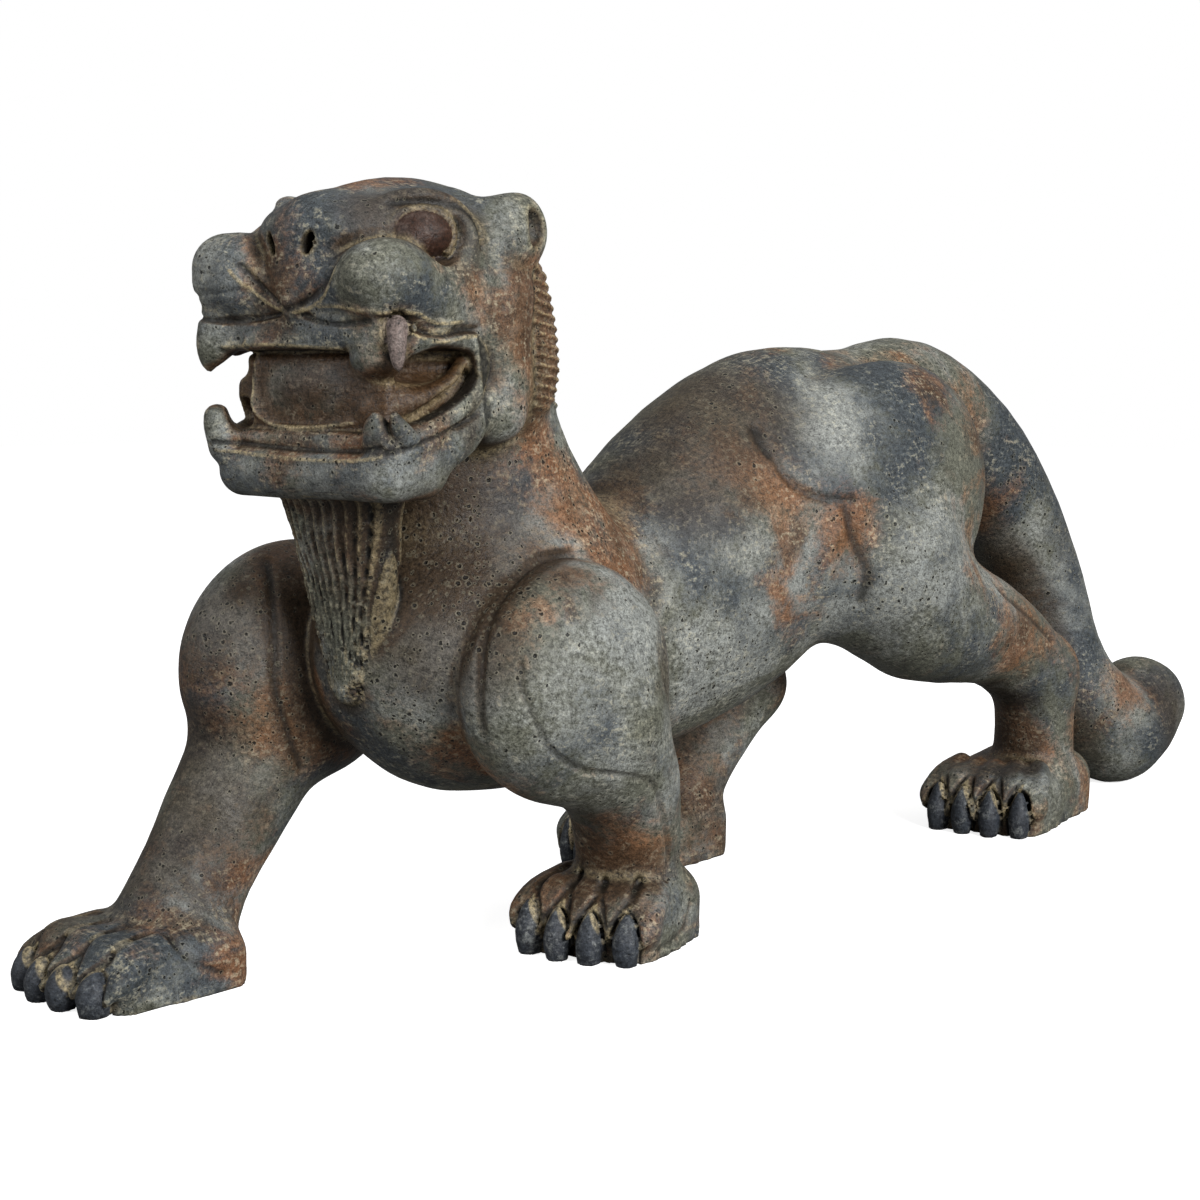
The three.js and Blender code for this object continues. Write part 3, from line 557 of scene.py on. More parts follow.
# Lines carved along the skin: nodes near it, width, depth (below zero for a raised line)
bodyLines = [
    ([(74, -298, 132), (75, -301, 149), (74, -299, 164), (70, -291, 181), (68, -282, 192), (66, -269, 202),
      (63, -250, 210), (62, -240, 213), (62, -219, 214)], 2.5, 3.8),
    ([(91, -288, 166), (91, -288, 159), (92, -287, 151), (94, -285, 144), (96, -282, 136), (96, -277, 128),
      (96, -269, 121), (98, -260, 115), (100, -252, 111), (103, -244, 109), (104, -232, 107),
      (103, -216, 103), (104, -207, 99), (102, -198, 92), (98, -190, 81), (93, -181, 69), (90, -175, 58),
      (88, -172, 47), (89, -175, 39)], 1.7, 2.6),
    ([(59, -38, 258), (62, -38, 250), (66, -34, 243), (71, -29, 238), (75, -21, 234), (79, -11, 232),
      (84, 2, 231)],
     2.6, 3.6),
    ([(64, -44, 262), (58, -46, 270), (52, -44, 277)], 5.0, 2.0),
    ([(85, -4, 227), (87, 0, 211), (89, 8, 196), (90, 12, 184), (85, 13, 171)], 4.0, 2.8),
    ([(83, -9, 214), (79, -14, 200), (76, -15, 185), (72, -14, 173)], 5.0, -2.2),
    ([(84, 141, 191), (94, 139, 179), (100, 148, 167), (101, 167, 157), (100, 192, 144),
      (100, 218, 128)], 2.6, 2.6),
    ([(-66, -313, 209), (-53, -321, 195), (-47, -325, 181), (-44, -327, 166), (-43, -328, 150),
      (-43, -324, 134), (-44, -318, 118), (-46, -310, 102)], 2.4, 2.2),
    ([(-45, -399, 32), (-36, -397, 25), (-32, -389, 17), (-30, -375, 9)], 2.4, 2.6),
    ([(90, -155, 21), (91, -160, 11), (95, -174, 7), (99, -191, 6)], 2.2, 2.2),
]
skinLines = []  # the same lines once their nodes are pulled onto the skin
scratchWidth = 2.0  # a thinner line than this is a scratch


def carveBody(clay):
    for nodes, wide, deep in skinLines:
        part = "scratch" if wide < scratchWidth else "crease"
        clay.line(nodes, wide, deep, part=part if deep > 0 else None)


unevenness = [(46, 0.9, 11), (17, 0.4, 12)]  # pitch, height and seed of the hand-worked hills
sole = {"high": 9, "ragged": 0.9, "pitch": 7, "seed": 14}  # the torn lower edge of the paws


def shapeLion(clay):
    shapeTrunk(clay)
    shapeLegs(clay)
    shapeTail(clay)
    for stand in paws["stand"]:
        shapePaw(clay, *stand)
    carveBody(clay)
    shapeBeard(clay)
    shapeHead(clay)
    near = np.nonzero(np.abs(clay.depth) < 25)[0]
    for pitch, height, seed in unevenness:
        clay.depth[near] += height * hills(clay.world[near], pitch, seed)
    low = near[clay.world[near, 2] < sole["high"]]
    fade = np.clip(1 - clay.world[low, 2] / sole["high"], 0, 1)
    clay.depth[low] += sole["ragged"] * fade * hills(clay.world[low], sole["pitch"], sole["seed"])
    clay.depth = np.maximum(clay.depth, -clay.world[:, 2])


exactReach = 14.0  # depths are exact up to this far from the skin


def measure(points, margin=exactReach, parts=()):
    chunk = 16000
    starts = range(0, len(points), chunk)

    def one(start):
        clay = Clay(points[start:start + chunk], margin, parts)
        shapeLion(clay)
        return clay
    with ThreadPoolExecutor(4) as pool:
        done = list(pool.map(one, starts))
    depth = np.concatenate([clay.depth for clay in done])
    if not parts:
        return depth
    return depth, {name: np.concatenate([clay.parts[name] for clay in done]) for name in parts}


def cellBlock(ratio):
    return np.stack(np.meshgrid(*[np.arange(ratio)] * 3, indexing="ij"), -1).reshape(-1, 3)


net = {"low": (-132, -470, -12), "high": (134, 478, 420), "step": 2.5, "ratios": (4, 2)}


def fineDepths():
    # depths on a fine grid, worked out only near the skin, in two rounds of smaller blocks
    low = np.array(net["low"], np.float32)
    high = np.array(net["high"], np.float32)
    size = net["step"] * net["ratios"][0] * net["ratios"][1]
    counts = np.ceil((high - low) / size).astype(int)
    cells = np.stack(np.meshgrid(*[np.arange(k) for k in counts], indexing="ij"), -1).reshape(-1, 3)
    cells = cells[np.lexsort((cells[:, 0], cells[:, 2], cells[:, 1]))]
    grid = None
    for ratio in net["ratios"]:
        centres = (low + size * (cells + 0.5)).astype(np.float32)
        depth = measure(centres, 30.0)
        whole = np.full(counts, 50, np.float32)
        if grid is not None:
            whole = grid
        whole[tuple(cells.T)] = np.where(depth < 0, -50, 50)
        near = np.abs(depth) < size * 1.1745 + 2.5  # half the diagonal of a cell, and room to spare
        for axis in range(3):
            whole = np.repeat(whole, ratio, axis)
        grid = whole
        cells = (cells[near][:, None, :] * ratio + cellBlock(ratio)[None]).reshape(-1, 3)
        counts = counts * ratio
        size /= ratio
    grid[tuple(cells.T)] = measure((low + size * cells).astype(np.float32))
    return grid, low


def netSkin(grid, low):
    # one knot in every cell that the skin crosses, one square round every crossed edge
    step = net["step"]
    inside = grid < 0
    nx, ny, nz = grid.shape
    count = np.zeros((nx - 1, ny - 1, nz - 1), np.uint8)
    for a, b, c in cellBlock(2):
        count += inside[a:nx - 1 + a, b:ny - 1 + b, c:nz - 1 + c]
    crossed = (count > 0) & (count < 8)
    cells = np.argwhere(crossed)
    knotOf = np.full(crossed.shape, -1, np.int32)
    knotOf[crossed] = np.arange(len(cells), dtype=np.int32)
    total = np.zeros((len(cells), 3), np.float32)
    hits = np.zeros(len(cells), np.float32)
    for corner in cellBlock(2):
        for axis in range(3):
            if corner[axis]:
                continue
            other = corner.copy()
            other[axis] = 1
            here = grid[tuple((cells + corner).T)]
            there = grid[tuple((cells + other).T)]
            hit = (here < 0) != (there < 0)
            spot = np.tile(corner.astype(np.float32), (hit.sum(), 1))
            spot[:, axis] = here[hit] / (here[hit] - there[hit])
            total[hit] += spot
            hits[hit] += 1
    knots = low + step * (cells + total / hits[:, None])
    squares = []
    for axis in range(3):
        u, v = (axis + 1) % 3, (axis + 2) % 3
        near = [slice(None)] * 3
        far = [slice(None)] * 3
        near[axis] = slice(0, -1)
        far[axis] = slice(1, None)
        here, there = inside[tuple(near)], inside[tuple(far)]
        at = np.argwhere(here != there)
        for side in (u, v):
            at = at[(at[:, side] > 0) & (at[:, side] < grid.shape[side] - 1)]
        outward = here[tuple(at.T)]
        square = []
        for du, dv in ((1, 1), (0, 1), (0, 0), (1, 0)):
            cell = at.copy()
            cell[:, u] -= du
            cell[:, v] -= dv
            square.append(knotOf[tuple(cell.T)])
        square = np.stack(square, 1)
        square[~outward] = square[~outward][:, ::-1]
        squares.append(square)
    squares = np.concatenate(squares)
    faces = np.concatenate([squares[:, [0, 1, 2]], squares[:, [0, 2, 3]]])
    return knots.astype(np.float32), faces


def splitFaces(knots, faces, chosen):
    # chosen faces become four, and their neighbours two or three so that no gap opens
    ends = np.sort(faces[:, [0, 1, 1, 2, 2, 0]].reshape(-1, 2), 1).astype(np.int64)
    keys, edge = np.unique(ends[:, 0] * len(knots) + ends[:, 1], return_inverse=True)
    edge = edge.reshape(-1, 3)
    marked = np.zeros(len(keys), bool)
    marked[edge[chosen]] = True
    first, second = keys[marked] // len(knots), keys[marked] % len(knots)
    middle = np.full(len(keys), -1)
    middle[marked] = len(knots) + np.arange(marked.sum())
    knots = np.vstack([knots, (knots[first] + knots[second]) / 2])
    onEdge = marked[edge]
    total = onEdge.sum(1)
    parts = [faces[total == 0]]
    a, b, c = faces[total == 3].T
    p, q, r = middle[edge[total == 3]].T
    parts += [np.stack(t, 1) for t in ((a, p, r), (p, b, q), (r, q, c), (p, q, r))]
    for turn in range(3):
        order = [(turn + k) % 3 for k in range(3)]
        single = (total == 1) & onEdge[:, order[0]]
        a, b, c = faces[single][:, order].T
        p = middle[edge[single][:, order[0]]]
        parts += [np.stack(t, 1) for t in ((a, p, c), (p, b, c))]
        double = (total == 2) & ~onEdge[:, order[2]]
        a, b, c = faces[double][:, order].T
        p, q = middle[edge[double][:, order[0]]], middle[edge[double][:, order[1]]]
        parts += [np.stack(t, 1) for t in ((p, b, q), (a, p, q), (a, q, c))]
    return knots.astype(np.float32), np.concatenate(parts)


def slope(points, reach=0.5):  # the depth, and how it grows along x, y and z
    depth = measure(points)
    ways = [measure(points + np.array(way, np.float32) * reach) - depth for way in np.eye(3)]
    return depth, np.stack(ways, 1) / reach


def settle(knots, rounds):  # pull knots onto the skin along the slope of the depth
    for _ in range(rounds):
        depth, way = slope(knots)
        steep = np.maximum(rowLength(way), 0.3)
        move = np.clip(depth / steep, -1.2, 1.2)[:, None] * way / steep[:, None]
        knots = (knots - move).astype(np.float32)
        knots[:, 2] = np.maximum(knots[:, 2], 0)
    return knots


def layLines():  # pulls the nodes of all lines onto the bare skin before any of them is carved
    laid = []
    for nodes, wide, deep in bodyLines:
        laid.append((settle(np.array(nodes, np.float32), rounds=8), wide, deep))
    skinLines.extend(laid)


fineRegions = [  # low and high corners of the places that get the finest net
    ((-90, -410, 236), (90, -200, 405)), ((-50, -345, 140), (50, -295, 245)),
    ((-20, -255, 0), (110, -195, 60)), ((-140, -480, 0), (-15, -385, 55)),
    ((10, 145, 0), (125, 225, 60)), ((-95, -95, 0), (-5, -50, 60))]
trianglesLeft = 190000  # after the plain stretches are thinned


def keepLargest(knots, faces):  # drops crumbs that hang loose from the lion
    leader = np.arange(len(knots))
    while True:
        lowest = leader[faces].min(1)
        new = leader.copy()
        for k in range(3):
            np.minimum.at(new, faces[:, k], lowest)
        new = new[new]
        if np.array_equal(new, leader):
            break
        leader = new
    names, counts = np.unique(leader[faces[:, 0]], return_counts=True)
    faces = faces[leader[faces[:, 0]] == names[counts.argmax()]]
    used, faces = np.unique(faces, return_inverse=True)
    return knots[used], faces.reshape(-1, 3)


def meshFrom(name, knots, faces):
    mesh = bpy.data.meshes.new(name)
    mesh.vertices.add(len(knots))
    mesh.vertices.foreach_set("co", np.ascontiguousarray(knots, np.float32).ravel())
    mesh.loops.add(len(faces) * 3)
    mesh.loops.foreach_set("vertex_index", np.ascontiguousarray(faces, np.int32).ravel())
    mesh.polygons.add(len(faces))
    mesh.polygons.foreach_set("loop_start", np.arange(0, len(faces) * 3, 3, dtype=np.int32))
    mesh.update(calc_edges=True)
    mesh.validate()
    return mesh


def buildLion():
    layLines()
    grid, low = fineDepths()
    knots, faces = netSkin(grid, low)
    knots, faces = keepLargest(knots, faces)
    print("net", len(knots), "knots", len(faces), "faces")
    centre = knots[faces].mean(1)
    chosen = np.zeros(len(faces), bool)
    for corner, opposite in fineRegions:
        chosen |= np.all((centre > corner) & (centre < opposite), axis=1)
    chosen |= (measure(knots, parts=("crease",))[1]["crease"] > 0.1)[faces].any(1)
    knots, faces = splitFaces(knots, faces, chosen)
    for _ in range(2):
        scratched = measure(knots, parts=("scratch",))[1]["scratch"] > 0.03
        knots, faces = splitFaces(knots, faces, scratched[faces].any(1))
    order = np.argsort(knots[:, 1], kind="stable")
    place = np.empty_like(order)
    place[order] = np.arange(len(order))
    knots, faces = knots[order], place[faces]
    knots = settle(knots, 2)
    print("refined", len(knots), "knots", len(faces), "faces")
    metres = (knots + np.array(toOrigin, np.float32)) / 1000
    piece = bpy.data.objects.new("lion_cast", meshFrom("lion_cast", metres, faces))
    bpy.context.scene.collection.objects.link(piece)
    thin = piece.modifiers.new("thin", "DECIMATE")
    thin.ratio = min(1.0, trianglesLeft / len(faces))
    thinned = bpy.data.meshes.new_from_object(piece.evaluated_get(bpy.context.evaluated_depsgraph_get()))
    piece.modifiers.clear()
    piece.data = thinned
    corners = np.empty(len(thinned.vertices) * 3, np.float32)
    thinned.vertices.foreach_get("co", corners)
    corners = np.clip(corners.reshape(-1, 3), *np.array(cadBox, np.float32))
    thinned.vertices.foreach_set("co", corners.ravel())
    thinned.shade_smooth()
    print("thinned", len(thinned.polygons), "faces")
    return piece


partNames = ("claw", "tooth", "tongue", "eye", "edge", "crease", "scratch")
spots = {  # x, y, z and reach of patches where one colour of the patina gathers; the last list is painted shade with some grime
    "rustSpot": [
        (-48, -360, 43, 34), (35, -324, 236, 34), (-52, -303, 202, 26), (91, -269, 191, 26),
        (49, -140, 198, 40), (97, -184, 158, 34), (79, -200, 58, 30), (8, -366, 268, 24),
        (51, -354, 277, 16), (53, -210, 235, 30), (82, -243, 208, 30), (-72, -354, 145, 30),
        (-45, -390, 32, 26), (81, 92, 295, 24), (95, -235, 199, 24), (64, -207, 38, 24), (59, -67, 239, 34),
        (73, -42, 199, 40), (83, -10, 206, 30), (47, 297, 150, 30), (52, 230, 46, 30), (81, 365, 75, 30),
        (71, -266, 341, 26), (73, -330, 282, 24), (-18, 6, 31, 40), (-45, -321, 128, 30),
        (61, -271, 199, 24), (80, 148, 269, 30), (105, 154, 135, 22), (0, -240, 330, 50),
        (9, -364, 350, 20)],
    # slate patina clouds; the spots on the top of the back are partly painted shade where little light falls
    "slateSpot": [
        (-41, -287, 114, 44), (-69, -353, 140, 36), (9, -83, 273, 50), (-3, -21, 307, 55),
        (52, -101, 224, 42), (68, 45, 301, 50), (46, 266, 265, 46), (66, 337, 120, 40), (106, 122, 132, 30),
        (85, -353, 348, 20), (28, -356, 375, 26), (57, -283, 387, 30), (-63, -425, 31, 34),
        (88, 407, 63, 34), (56, -50, 256, 30), (-39, -315, 160, 30), (93, 40, 248, 26), (38, -269, 253, 26)],
    "paleSpot": [
        (76, 7, 272, 34), (112, 45, 189, 44), (108, -250, 127, 40), (-69, -346, 181, 34),
        (-27, -327, 391, 30), (50, -245, 232, 36), (49, -301, 166, 34), (82, 5, 178, 34), (58, 318, 172, 40),
        (43, -325, 389, 24), (36, -199, 276, 30), (84, -296, 140, 28), (60, -119, 164, 34),
        (66, -72, 160, 34), (106, -225, 179, 34), (113, -232, 150, 40), (105, -268, 153, 34),
        (54, -111, 129, 26), (69, -75, 195, 28), (73, -33, 192, 28), (-27, -377, 355, 26),
        (-39, -376, 30, 24), (-31, -383, 3, 24), (37, -359, 326, 18), (-26, -368, 260, 22),
        (34, -364, 258, 18), (56, -358, 262, 18), (72, -346, 268, 18), (104, 30, 170, 30),
        (98, 60, 200, 34)],
    # painted shade with some grime: patches darkened under the jaw and down the neck, on the top of the back
    # and head, down the far foreleg and on the tail's knob
    "shadeAndDirtSpot": [
        (35, -321, 240, 34), (30, -316, 216, 34), (32, -277, 233, 40), (53, -262, 213, 34),
        (44, -303, 176, 34), (70, -294, 172, 26), (14, -52, 290, 40), (36, -42, 284, 40), (38, -92, 251, 40),
        (51, -333, 382, 24), (63, -312, 385, 24), (-69, -349, 176, 30), (-47, -331, 171, 26),
        (-80, -349, 118, 30), (-60, -358, 85, 30), (-79, -382, 61, 30), (-120, -421, 25, 34),
        (42, -287, 204, 40), (8, 310, 180, 40), (74, 418, 52, 30), (60, -312, 377, 20)],
}


def paintMasks(piece):
    # how sheltered or how exposed each point is, from the clay's own depths round it
    mesh = piece.data
    count = len(mesh.vertices)
    at = np.empty(count * 3, np.float32)
    normals = np.empty(count * 3, np.float32)
    mesh.vertices.foreach_get("co", at)
    mesh.vertex_normals.foreach_get("vector", normals)
    at = at.reshape(-1, 3) * 1000 - np.array(toOrigin, np.float32)
    normals = normals.reshape(-1, 3)
    order = np.argsort(at[:, 1], kind="stable")
    back = np.empty_like(order)
    back[order] = np.arange(count)
    at, normals = at[order], normals[order]
    _, masks = measure(at, parts=partNames)
    # hollowFine, hollow and sheltered later darken the finish as painted shade in grooves, hollows and
    # sheltered places; hollowBroad draws rust in
    for name, reach in (("hollowFine", 2.5), ("hollow", 7.0), ("hollowBroad", 22.0), ("sheltered", 60.0)):
        out = measure(at + normals * reach, reach + exactReach)
        masks[name] = np.clip(1 - out / reach, 0, 1)
    # ridgeFine later paints a pale highlight on thin ridges
    for name, reach in (("ridgeFine", 2.0), ("ridge", 6.0)):
        deep = -measure(at - normals * reach, reach + exactReach)
        masks[name] = np.clip(1 - deep / reach, 0, 1)
    for name, places in spots.items():
        share = np.zeros(count, np.float32)
        for x, y, z, reach in places:
            share = np.maximum(share, 1 - rowLength(at - np.array((x, y, z), np.float32)) / (1.6 * reach))
        masks[name] = share
    masks["ridgeFine"] *= 1 - np.clip(5 * masks["scratch"], 0, 1)
    for name, values in masks.items():
        layer = mesh.attributes.new(name, "FLOAT", "POINT")
        layer.data.foreach_set("value", values[back].astype(np.float32))


lion = buildLion()
paintMasks(lion)
print("masks painted")


def nodeGroup(name, inputs, outputs):
    group = bpy.data.node_groups.new(name, "ShaderNodeTree")
    for label, kind, value in inputs:
        socket = group.interface.new_socket(label, in_out="INPUT", socket_type="NodeSocket" + kind)
        if value is not None:
            socket.default_value = value
    for label in outputs:
        group.interface.new_socket(label, in_out="OUTPUT", socket_type="NodeSocketFloat")
    return group


class Wiring:  # short ways to place and join shader nodes
    def __init__(self, tree):
        self.tree = tree

    def put(self, kind, inputs=(), **settings):
        node = self.tree.nodes.new(kind if kind.startswith("NodeGroup") else "ShaderNode" + kind)
        for key, value in settings.items():
            setattr(node, key, value)
        for key, value in dict(inputs).items():
            self.give(node.inputs[key], value)
        return node

    def give(self, socket, value):
        if isinstance(value, bpy.types.NodeSocket):
            self.tree.links.new(value, socket)
        else:
            socket.default_value = value

    def mask(self, name):
        return self.put("Attribute", attribute_name=name).outputs["Fac"]

    def math(self, operation, a, b=0.0, clamp=False):
        return self.put("Math", {0: a, 1: b}, operation=operation, use_clamp=clamp).outputs[0]

    def times(self, a, b):
        return self.math("MULTIPLY", a, b)

    def plus(self, a, b, clamp=False):
        return self.math("ADD", a, b, clamp)

    def minus(self, a, b):
        return self.math("SUBTRACT", a, b)

    def larger(self, a, b):
        return self.math("MAXIMUM", a, b)

    def noise(self, where, scale, detail=4.0, rough=0.55, warp=0.0, seed=0.0):
        values = {"Vector": where, "Scale": scale, "Detail": detail, "Roughness": rough,
                  "Distortion": warp, "W": seed}
        return self.put("TexNoise", values, noise_dimensions="4D").outputs["Fac"]

    def grey(self, value):
        same = {"Red": value, "Green": value, "Blue": value}
        return self.put("CombineColor", same).outputs["Color"]

    def step(self, value, low, high, lowTo=0.0, highTo=1.0):
        values = {"Value": value, "From Min": low, "From Max": high, "To Min": lowTo, "To Max": highTo}
        return self.put("MapRange", values, interpolation_type="SMOOTHSTEP").outputs["Result"]

    def mix(self, share, a, b, way="MIX"):
        node = self.tree.nodes.new("ShaderNodeMix")
        node.data_type = "RGBA"
        node.blend_type = way
        self.give(node.inputs["Factor"], share)
        self.give(node.inputs[6], a)
        self.give(node.inputs[7], b)
        return node.outputs[2]


tints = {  # the colours of the finish
    "stone": (0.108, 0.110, 0.084, 1), "cloud": (0.226, 0.236, 0.222, 1), "slate": (0.032, 0.041, 0.051, 1),
    # the near-blackness tint darkens grooves, crevices and pinholes as painted shade; umber is a patina
    # colour and also painted shade in sheltered places
    "pale": (0.36, 0.335, 0.24, 1), "rust": (0.182, 0.078, 0.029, 1), "umber": (0.036, 0.023, 0.013, 1),
    "shadeBlack": (0.006, 0.006, 0.005, 1), "ochre": (0.31, 0.25, 0.14, 1), "claw": (0.034, 0.040, 0.050, 1),
    "tooth": (0.155, 0.118, 0.105, 1), "tongue": (0.050, 0.026, 0.011, 1), "eye": (0.034, 0.014, 0.008, 1),
}
finish = {"specular": 0.30, "bump": 0.0011, "bumpStrength": 0.85, "crooked": 0.0016}


def pinholeGroup():  # small round holes with pale rims, scattered in patches
    inputs = [("Where", "Vector", None), ("Scale", "Float", 300.0), ("Patch", "Float", 0.5)]
    group = nodeGroup("pinholes", inputs, ["Hole", "Rim"])
    w = Wiring(group)
    given = w.put("NodeGroupInput").outputs
    cells = w.put("TexVoronoi", {"Vector": given["Where"], "Scale": given["Scale"]})
    chance = w.put("SeparateColor", {"Color": cells.outputs["Color"]}).outputs
    bare = w.math("GREATER_THAN", chance[0], w.minus(1.0, given["Patch"]))
    size = w.plus(w.times(chance[1], 0.20), 0.11)
    gap = w.math("DIVIDE", cells.outputs["Distance"], size)
    hole = w.times(w.step(gap, 1.0, 0.6), bare)
    rim = w.times(w.times(w.step(gap, 0.9, 1.15), w.step(gap, 1.8, 1.3)), bare)
    out = w.put("NodeGroupOutput")
    w.give(out.inputs["Hole"], hole)
    w.give(out.inputs["Rim"], rim)
    return group


def streakGroup():  # the marks of a stiff brush that was drawn along the body
    inputs = [("Where", "Vector", None), ("Fineness", "Float", 90.0)]
    group = nodeGroup("brushStreaks", inputs, ["Streak"])
    w = Wiring(group)
    given = w.put("NodeGroupInput").outputs
    parts = []
    for turn, stretch in (((0.3, 0.5, 0.2), (1.0, 5.0, 4.0)), ((0.9, -0.4, 1.1), (5.0, 1.0, 4.0))):
        place = w.put("Mapping", {"Vector": given["Where"], "Rotation": turn, "Scale": stretch})
        parts.append(w.noise(place.outputs[0], given["Fineness"], 5.0, 0.65, 0.4))
    out = w.put("NodeGroupOutput")
    w.give(out.inputs["Streak"], w.times(w.plus(parts[0], parts[1]), 0.5))
    return group


def patinatedClay():
    material = bpy.data.materials.new("patinated_clay")
    material.use_nodes = True
    tree = material.node_tree
    tree.nodes.clear()
    w = Wiring(tree)
    where = w.put("TexCoord").outputs["Object"]
    streakNode = w.put("Group", node_tree=streakGroup())
    w.give(streakNode.inputs["Where"], where)
    streak = streakNode.outputs["Streak"]
    middle = w.noise(where, 46.0, 6.0, 0.66, 0.6, 5.0)
    fine = w.noise(where, 420.0, 4.0, 0.62, 0.0, 6.0)
    speck = w.noise(where, 1200.0, 2.0, 0.5, 0.0, 7.0)
    hollowFine, hollow, hollowBroad = w.mask("hollowFine"), w.mask("hollow"), w.mask("hollowBroad")
    ridgeFine, ridge, crease = w.mask("ridgeFine"), w.mask("ridge"), w.mask("crease")
    rough = w.plus(w.times(middle, 0.35), w.times(streak, 0.40))
    rough = w.plus(rough, w.times(fine, 0.10))

    def patch(scale, seed, low, high, more):
        # patches with brushed edges, more of them where the value more is high
        field = w.plus(w.noise(where, scale, 5.0, 0.6, 0.7, seed), rough)
        return w.step(w.plus(field, more), low, high)

    # ground of stone grey with light clouds and slate clouds
    shareCloud = patch(13.0, 1.0, 0.88, 1.10, w.times(w.mask("paleSpot"), 0.18))
    colour = w.mix(w.times(shareCloud, 0.9), tints["stone"], tints["cloud"])
    shareSlate = patch(12.0, 2.0, 0.90, 1.08, w.times(w.mask("slateSpot"), 0.20))
    colour = w.mix(w.times(shareSlate, 0.88), colour, tints["slate"])
    # rust in the hollows and in patches, some of it deep brown
    lean = w.plus(w.times(w.mask("rustSpot"), 0.20), w.times(hollowBroad, 0.22))
    calm = w.plus(w.times(w.mask("paleSpot"), 0.14), w.times(w.mask("slateSpot"), 0.10))
    lean = w.minus(lean, calm)
    shareRust = patch(14.0, 3.0, 0.92, 1.12, lean)
    colour = w.mix(w.times(shareRust, 0.8), colour, tints["rust"])
    shareUmber = patch(22.0, 4.0, 0.98, 1.14, lean)
    colour = w.mix(w.times(shareUmber, 0.65), colour, tints["umber"])
    # pale streaks where a dry brush caught the high places
    caught = w.times(w.step(streak, 0.50, 0.60), w.step(w.plus(middle, ridge), 0.42, 0.62))
    colour = w.mix(w.times(caught, 0.42), colour, tints["pale"])
    # painted shade: sheltered places and hollows are darkened towards umber, and the listed shade spots add
    # more painted shade with some grime
    shadeAndDirt = w.plus(w.times(w.step(w.mask("sheltered"), 0.28, 0.85), 0.62),
                  w.times(w.step(hollow, 0.10, 0.5), 0.65))
    dim = w.step(w.plus(w.mask("shadeAndDirtSpot"), w.times(rough, 0.9)), 0.45, 1.1)
    shadeAndDirt = w.plus(shadeAndDirt, w.times(dim, 0.75), clamp=True)
    colour = w.mix(shadeAndDirt, colour, tints["umber"])
    # painted shade: grooves, creases, scratches and fine crevices darkened almost to blackness; edges rubbed
    # pale further down, thin ridges given a painted highlight
    grooveShade = w.larger(w.step(hollowFine, 0.2, 0.7), w.times(w.step(crease, 0.3, 0.85), 0.85))
    grooveShade = w.larger(grooveShade, w.step(w.mask("scratch"), 0.35, 0.8))
    grooveShade = w.times(grooveShade, 0.92)
    colour = w.mix(grooveShade, colour, tints["shadeBlack"])
    # parts with a colour of their own
    for name, share in (("tongue", 0.88), ("eye", 0.94), ("tooth", 0.88), ("claw", 0.9)):
        cloudy = w.times(w.step(rough, 0.42, 0.56), 0.85 if name == "claw" else 0.2)
        own = w.mix(cloudy, tints[name], tints["cloud"])
        colour = w.mix(w.times(w.mask(name), share), colour, own)
    # pale edges: rubbed ochre on the raised lines, and a painted highlight on thin ridges
    edge = w.larger(w.times(w.step(ridgeFine, 0.12, 0.5), 0.5), w.step(w.mask("edge"), 0.4, 0.9))
    rubAndHighlight = w.times(edge, w.step(fine, 0.35, 0.6, 0.4, 1.0))
    colour = w.mix(w.times(rubAndHighlight, 0.75), colour, tints["ochre"])
    # grain and pinholes
    grain = w.plus(w.step(fine, 0.3, 0.7, 0.64, 1.34), w.step(speck, 0.3, 0.7, -0.36, 0.36))
    grain = w.plus(grain, w.step(streak, 0.40, 0.60, -0.26, 0.26))
    colour = w.mix(1.0, colour, w.grey(grain), "MULTIPLY")
    wobble = w.put("TexNoise", {"Vector": where, "Scale": 600.0, "Detail": 1.0}).outputs["Color"]
    values = {0: wobble, 1: (finish["crooked"],) * 3, 2: where}
    crooked = w.put("VectorMath", values, operation="MULTIPLY_ADD")
    plainSkin = w.larger(w.larger(w.mask("tongue"), w.mask("eye")), w.larger(w.mask("tooth"), w.mask("claw")))
    plainSkin = w.minus(1.0, plainSkin)
    pinholes = pinholeGroup()
    depth = 0.0
    for scale, seed, low in ((330.0, 8.0, 0.47), (230.0, 9.0, 0.50)):
        holes = w.put("Group", node_tree=pinholes)
        w.give(holes.inputs["Where"], crooked.outputs[0])
        w.give(holes.inputs["Scale"], scale)
        share = w.step(w.noise(where, 13.0, 3.0, 0.5, 0.0, seed), low, low + 0.16, 0.02, 0.7)
        w.give(holes.inputs["Patch"], w.times(share, plainSkin))
        # pinhole holes darkened as painted shade, their rims a little paler
        colour = w.mix(w.times(holes.outputs["Rim"], 0.16), colour, tints["pale"])
        colour = w.mix(w.times(holes.outputs["Hole"], 0.92), colour, tints["shadeBlack"])
        depth = w.plus(depth, holes.outputs["Hole"])
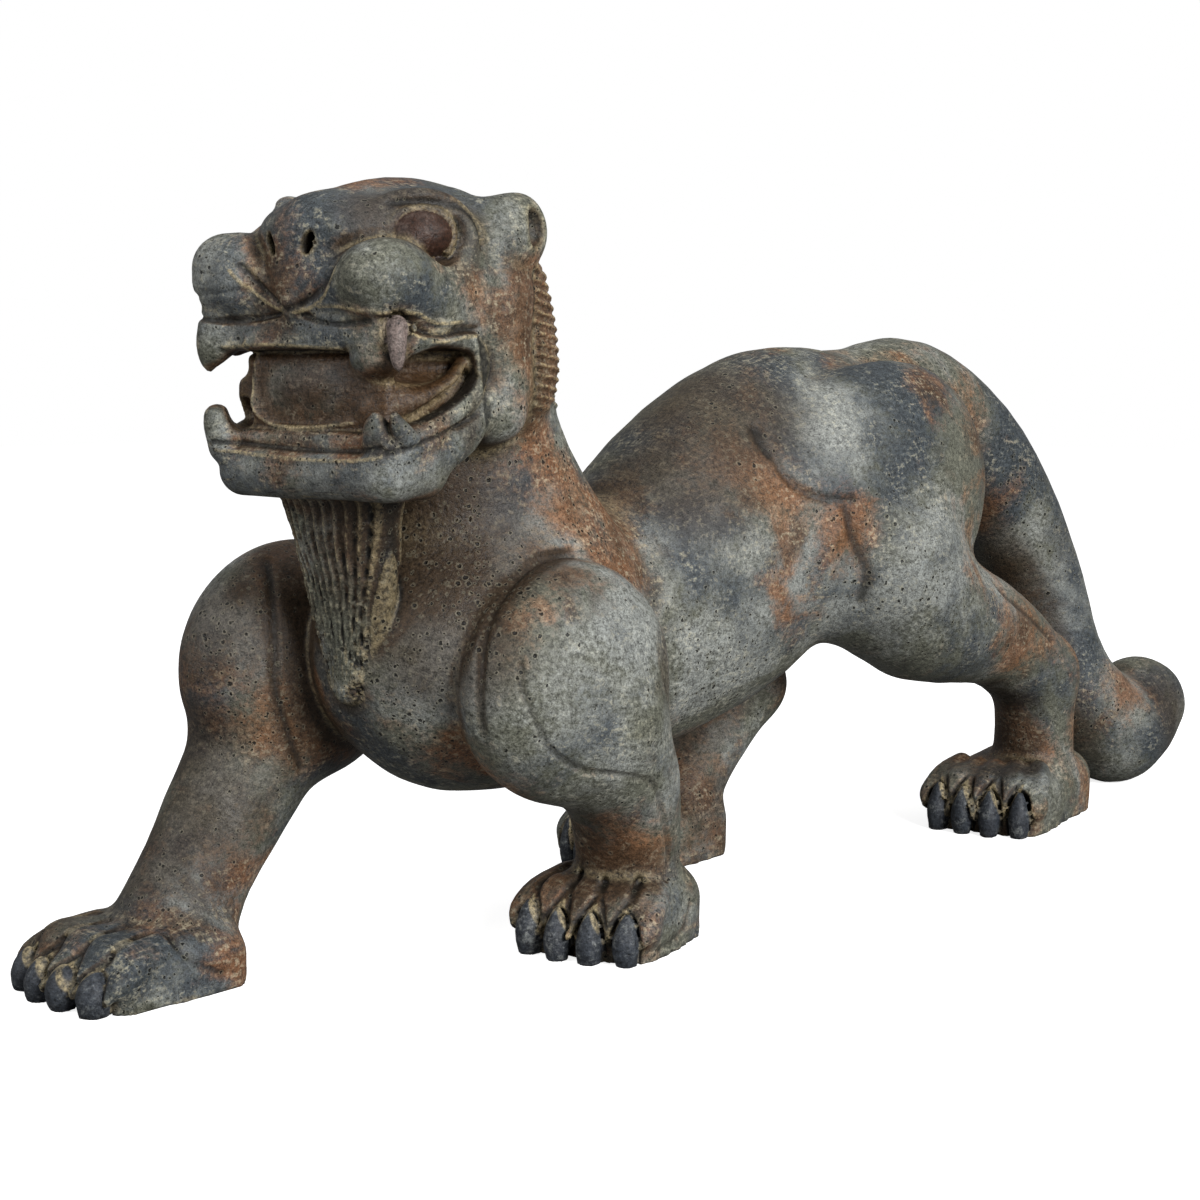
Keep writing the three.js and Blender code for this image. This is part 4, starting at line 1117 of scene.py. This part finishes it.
    # the fine relief of the skin, and how matt it is
    height = w.plus(w.times(fine, 0.45), w.times(streak, 1.1))
    height = w.plus(height, w.times(speck, 0.12))
    height = w.minus(height, w.times(depth, 1.6))
    values = {"Height": height, "Distance": finish["bump"], "Strength": finish["bumpStrength"]}
    bump = w.put("Bump", values)
    matt = w.step(w.plus(middle, w.times(fine, 0.4)), 0.5, 1.0, 0.42, 0.66)
    smooth = w.larger(w.mask("tongue"), w.mask("eye"))
    matt = w.minus(matt, w.times(smooth, 0.06))
    shader = w.put("BsdfPrincipled", {
        "Base Color": colour, "Roughness": matt, "Normal": bump.outputs["Normal"],
        "Specular IOR Level": finish["specular"]})
    w.put("OutputMaterial", {"Surface": shader.outputs[0]})
    return material


lion.data.materials.clear()
lion.data.materials.append(patinatedClay())
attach(lion, "root")
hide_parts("lion")
print("finish laid on")


studio = {
    "floor": 6.0, "paleFloor": (0.90, 0.90, 0.90, 1), "dimFloor": (0.18, 0.18, 0.18, 1),
    "backdrop": 1.0, "worldStrength": 0.27, "floorGlow": 0.82,
    "lamps": [  # name, place, size, power, aim
        ("lampSide", (2.2, -0.55, 1.15), 1.1, 72, (0, 0, 0.2)),
        ("lampFront", (-0.5, -2.2, 1.2), 1.1, 17, (0, -0.1, 0.2)),
        ("lampTop", (0.1, 0.3, 2.3), 1.5, 9, (0, 0, 0.1))],
}


def seenDirectly(tree):
    return tree.nodes.new("ShaderNodeLightPath").outputs["Is Camera Ray"]


def setStudio():
    mesh = bpy.data.meshes.new("floor")
    half = studio["floor"]
    corners = [(-half, -half, 0), (half, -half, 0), (half, half, 0), (-half, half, 0)]
    mesh.from_pydata(corners, [], [(0, 1, 2, 3)])
    floor = bpy.data.objects.new("floor", mesh)
    bpy.context.scene.collection.objects.link(floor)
    plain = bpy.data.materials.new("floor_plain")
    plain.use_nodes = True
    w = Wiring(plain.node_tree)
    shader = plain.node_tree.nodes["Principled BSDF"]
    ground = w.mix(seenDirectly(w.tree), studio["dimFloor"], studio["paleFloor"])
    w.give(shader.inputs["Base Color"], ground)
    shader.inputs["Roughness"].default_value = 0.9
    shader.inputs["Emission Color"].default_value = (1, 1, 1, 1)
    w.give(shader.inputs["Emission Strength"], w.times(seenDirectly(w.tree), studio["floorGlow"]))
    mesh.materials.append(plain)
    world = bpy.data.worlds.new("studio")
    world.use_nodes = True
    w = Wiring(world.node_tree)
    sky = world.node_tree.nodes["Background"]
    sky.inputs["Color"].default_value = (1.0, 1.0, 1.0, 1)
    low, high = studio["worldStrength"], studio["backdrop"]
    w.give(sky.inputs["Strength"], w.step(seenDirectly(w.tree), 0.0, 1.0, low, high))
    bpy.context.scene.world = world
    for name, place, size, power, aim in studio["lamps"]:
        light = bpy.data.lights.new(name, "AREA")
        light.shape = "DISK"
        light.size = size
        light.energy = power
        lamp = bpy.data.objects.new(name, light)
        lamp.location = place
        lamp.rotation_euler = (Vector(aim) - Vector(place)).to_track_quat("-Z", "Y").to_euler()
        bpy.context.scene.collection.objects.link(lamp)


view = {  # focal length, height of the horizon and frame in points of the picture, sensor in mm
    "place": (0.7607, -1.0005, 0.310), "azimuth": 41.0,
    "focal": 2050.0, "horizon": 365.0, "frame": 1200.0, "sensor": 36.0,
}


def setCamera():
    lens = bpy.data.cameras.new("view")
    lens.sensor_width = view["sensor"]
    lens.lens = view["sensor"] * view["focal"] / view["frame"]
    lens.clip_end = 50
    camera = bpy.data.objects.new("view", lens)
    camera.location = Vector(view["place"]) + Vector(toOrigin) / 1000
    pitch = np.arctan2(view["frame"] / 2 - view["horizon"], view["focal"])
    camera.rotation_euler = (np.pi / 2 - pitch, 0, np.radians(view["azimuth"]))
    bpy.context.scene.collection.objects.link(camera)
    bpy.context.scene.camera = camera


setStudio()
setCamera()
bpy.context.scene.view_settings.view_transform = "Standard"
print("studio and camera set")

bpy.context.view_layer.update()
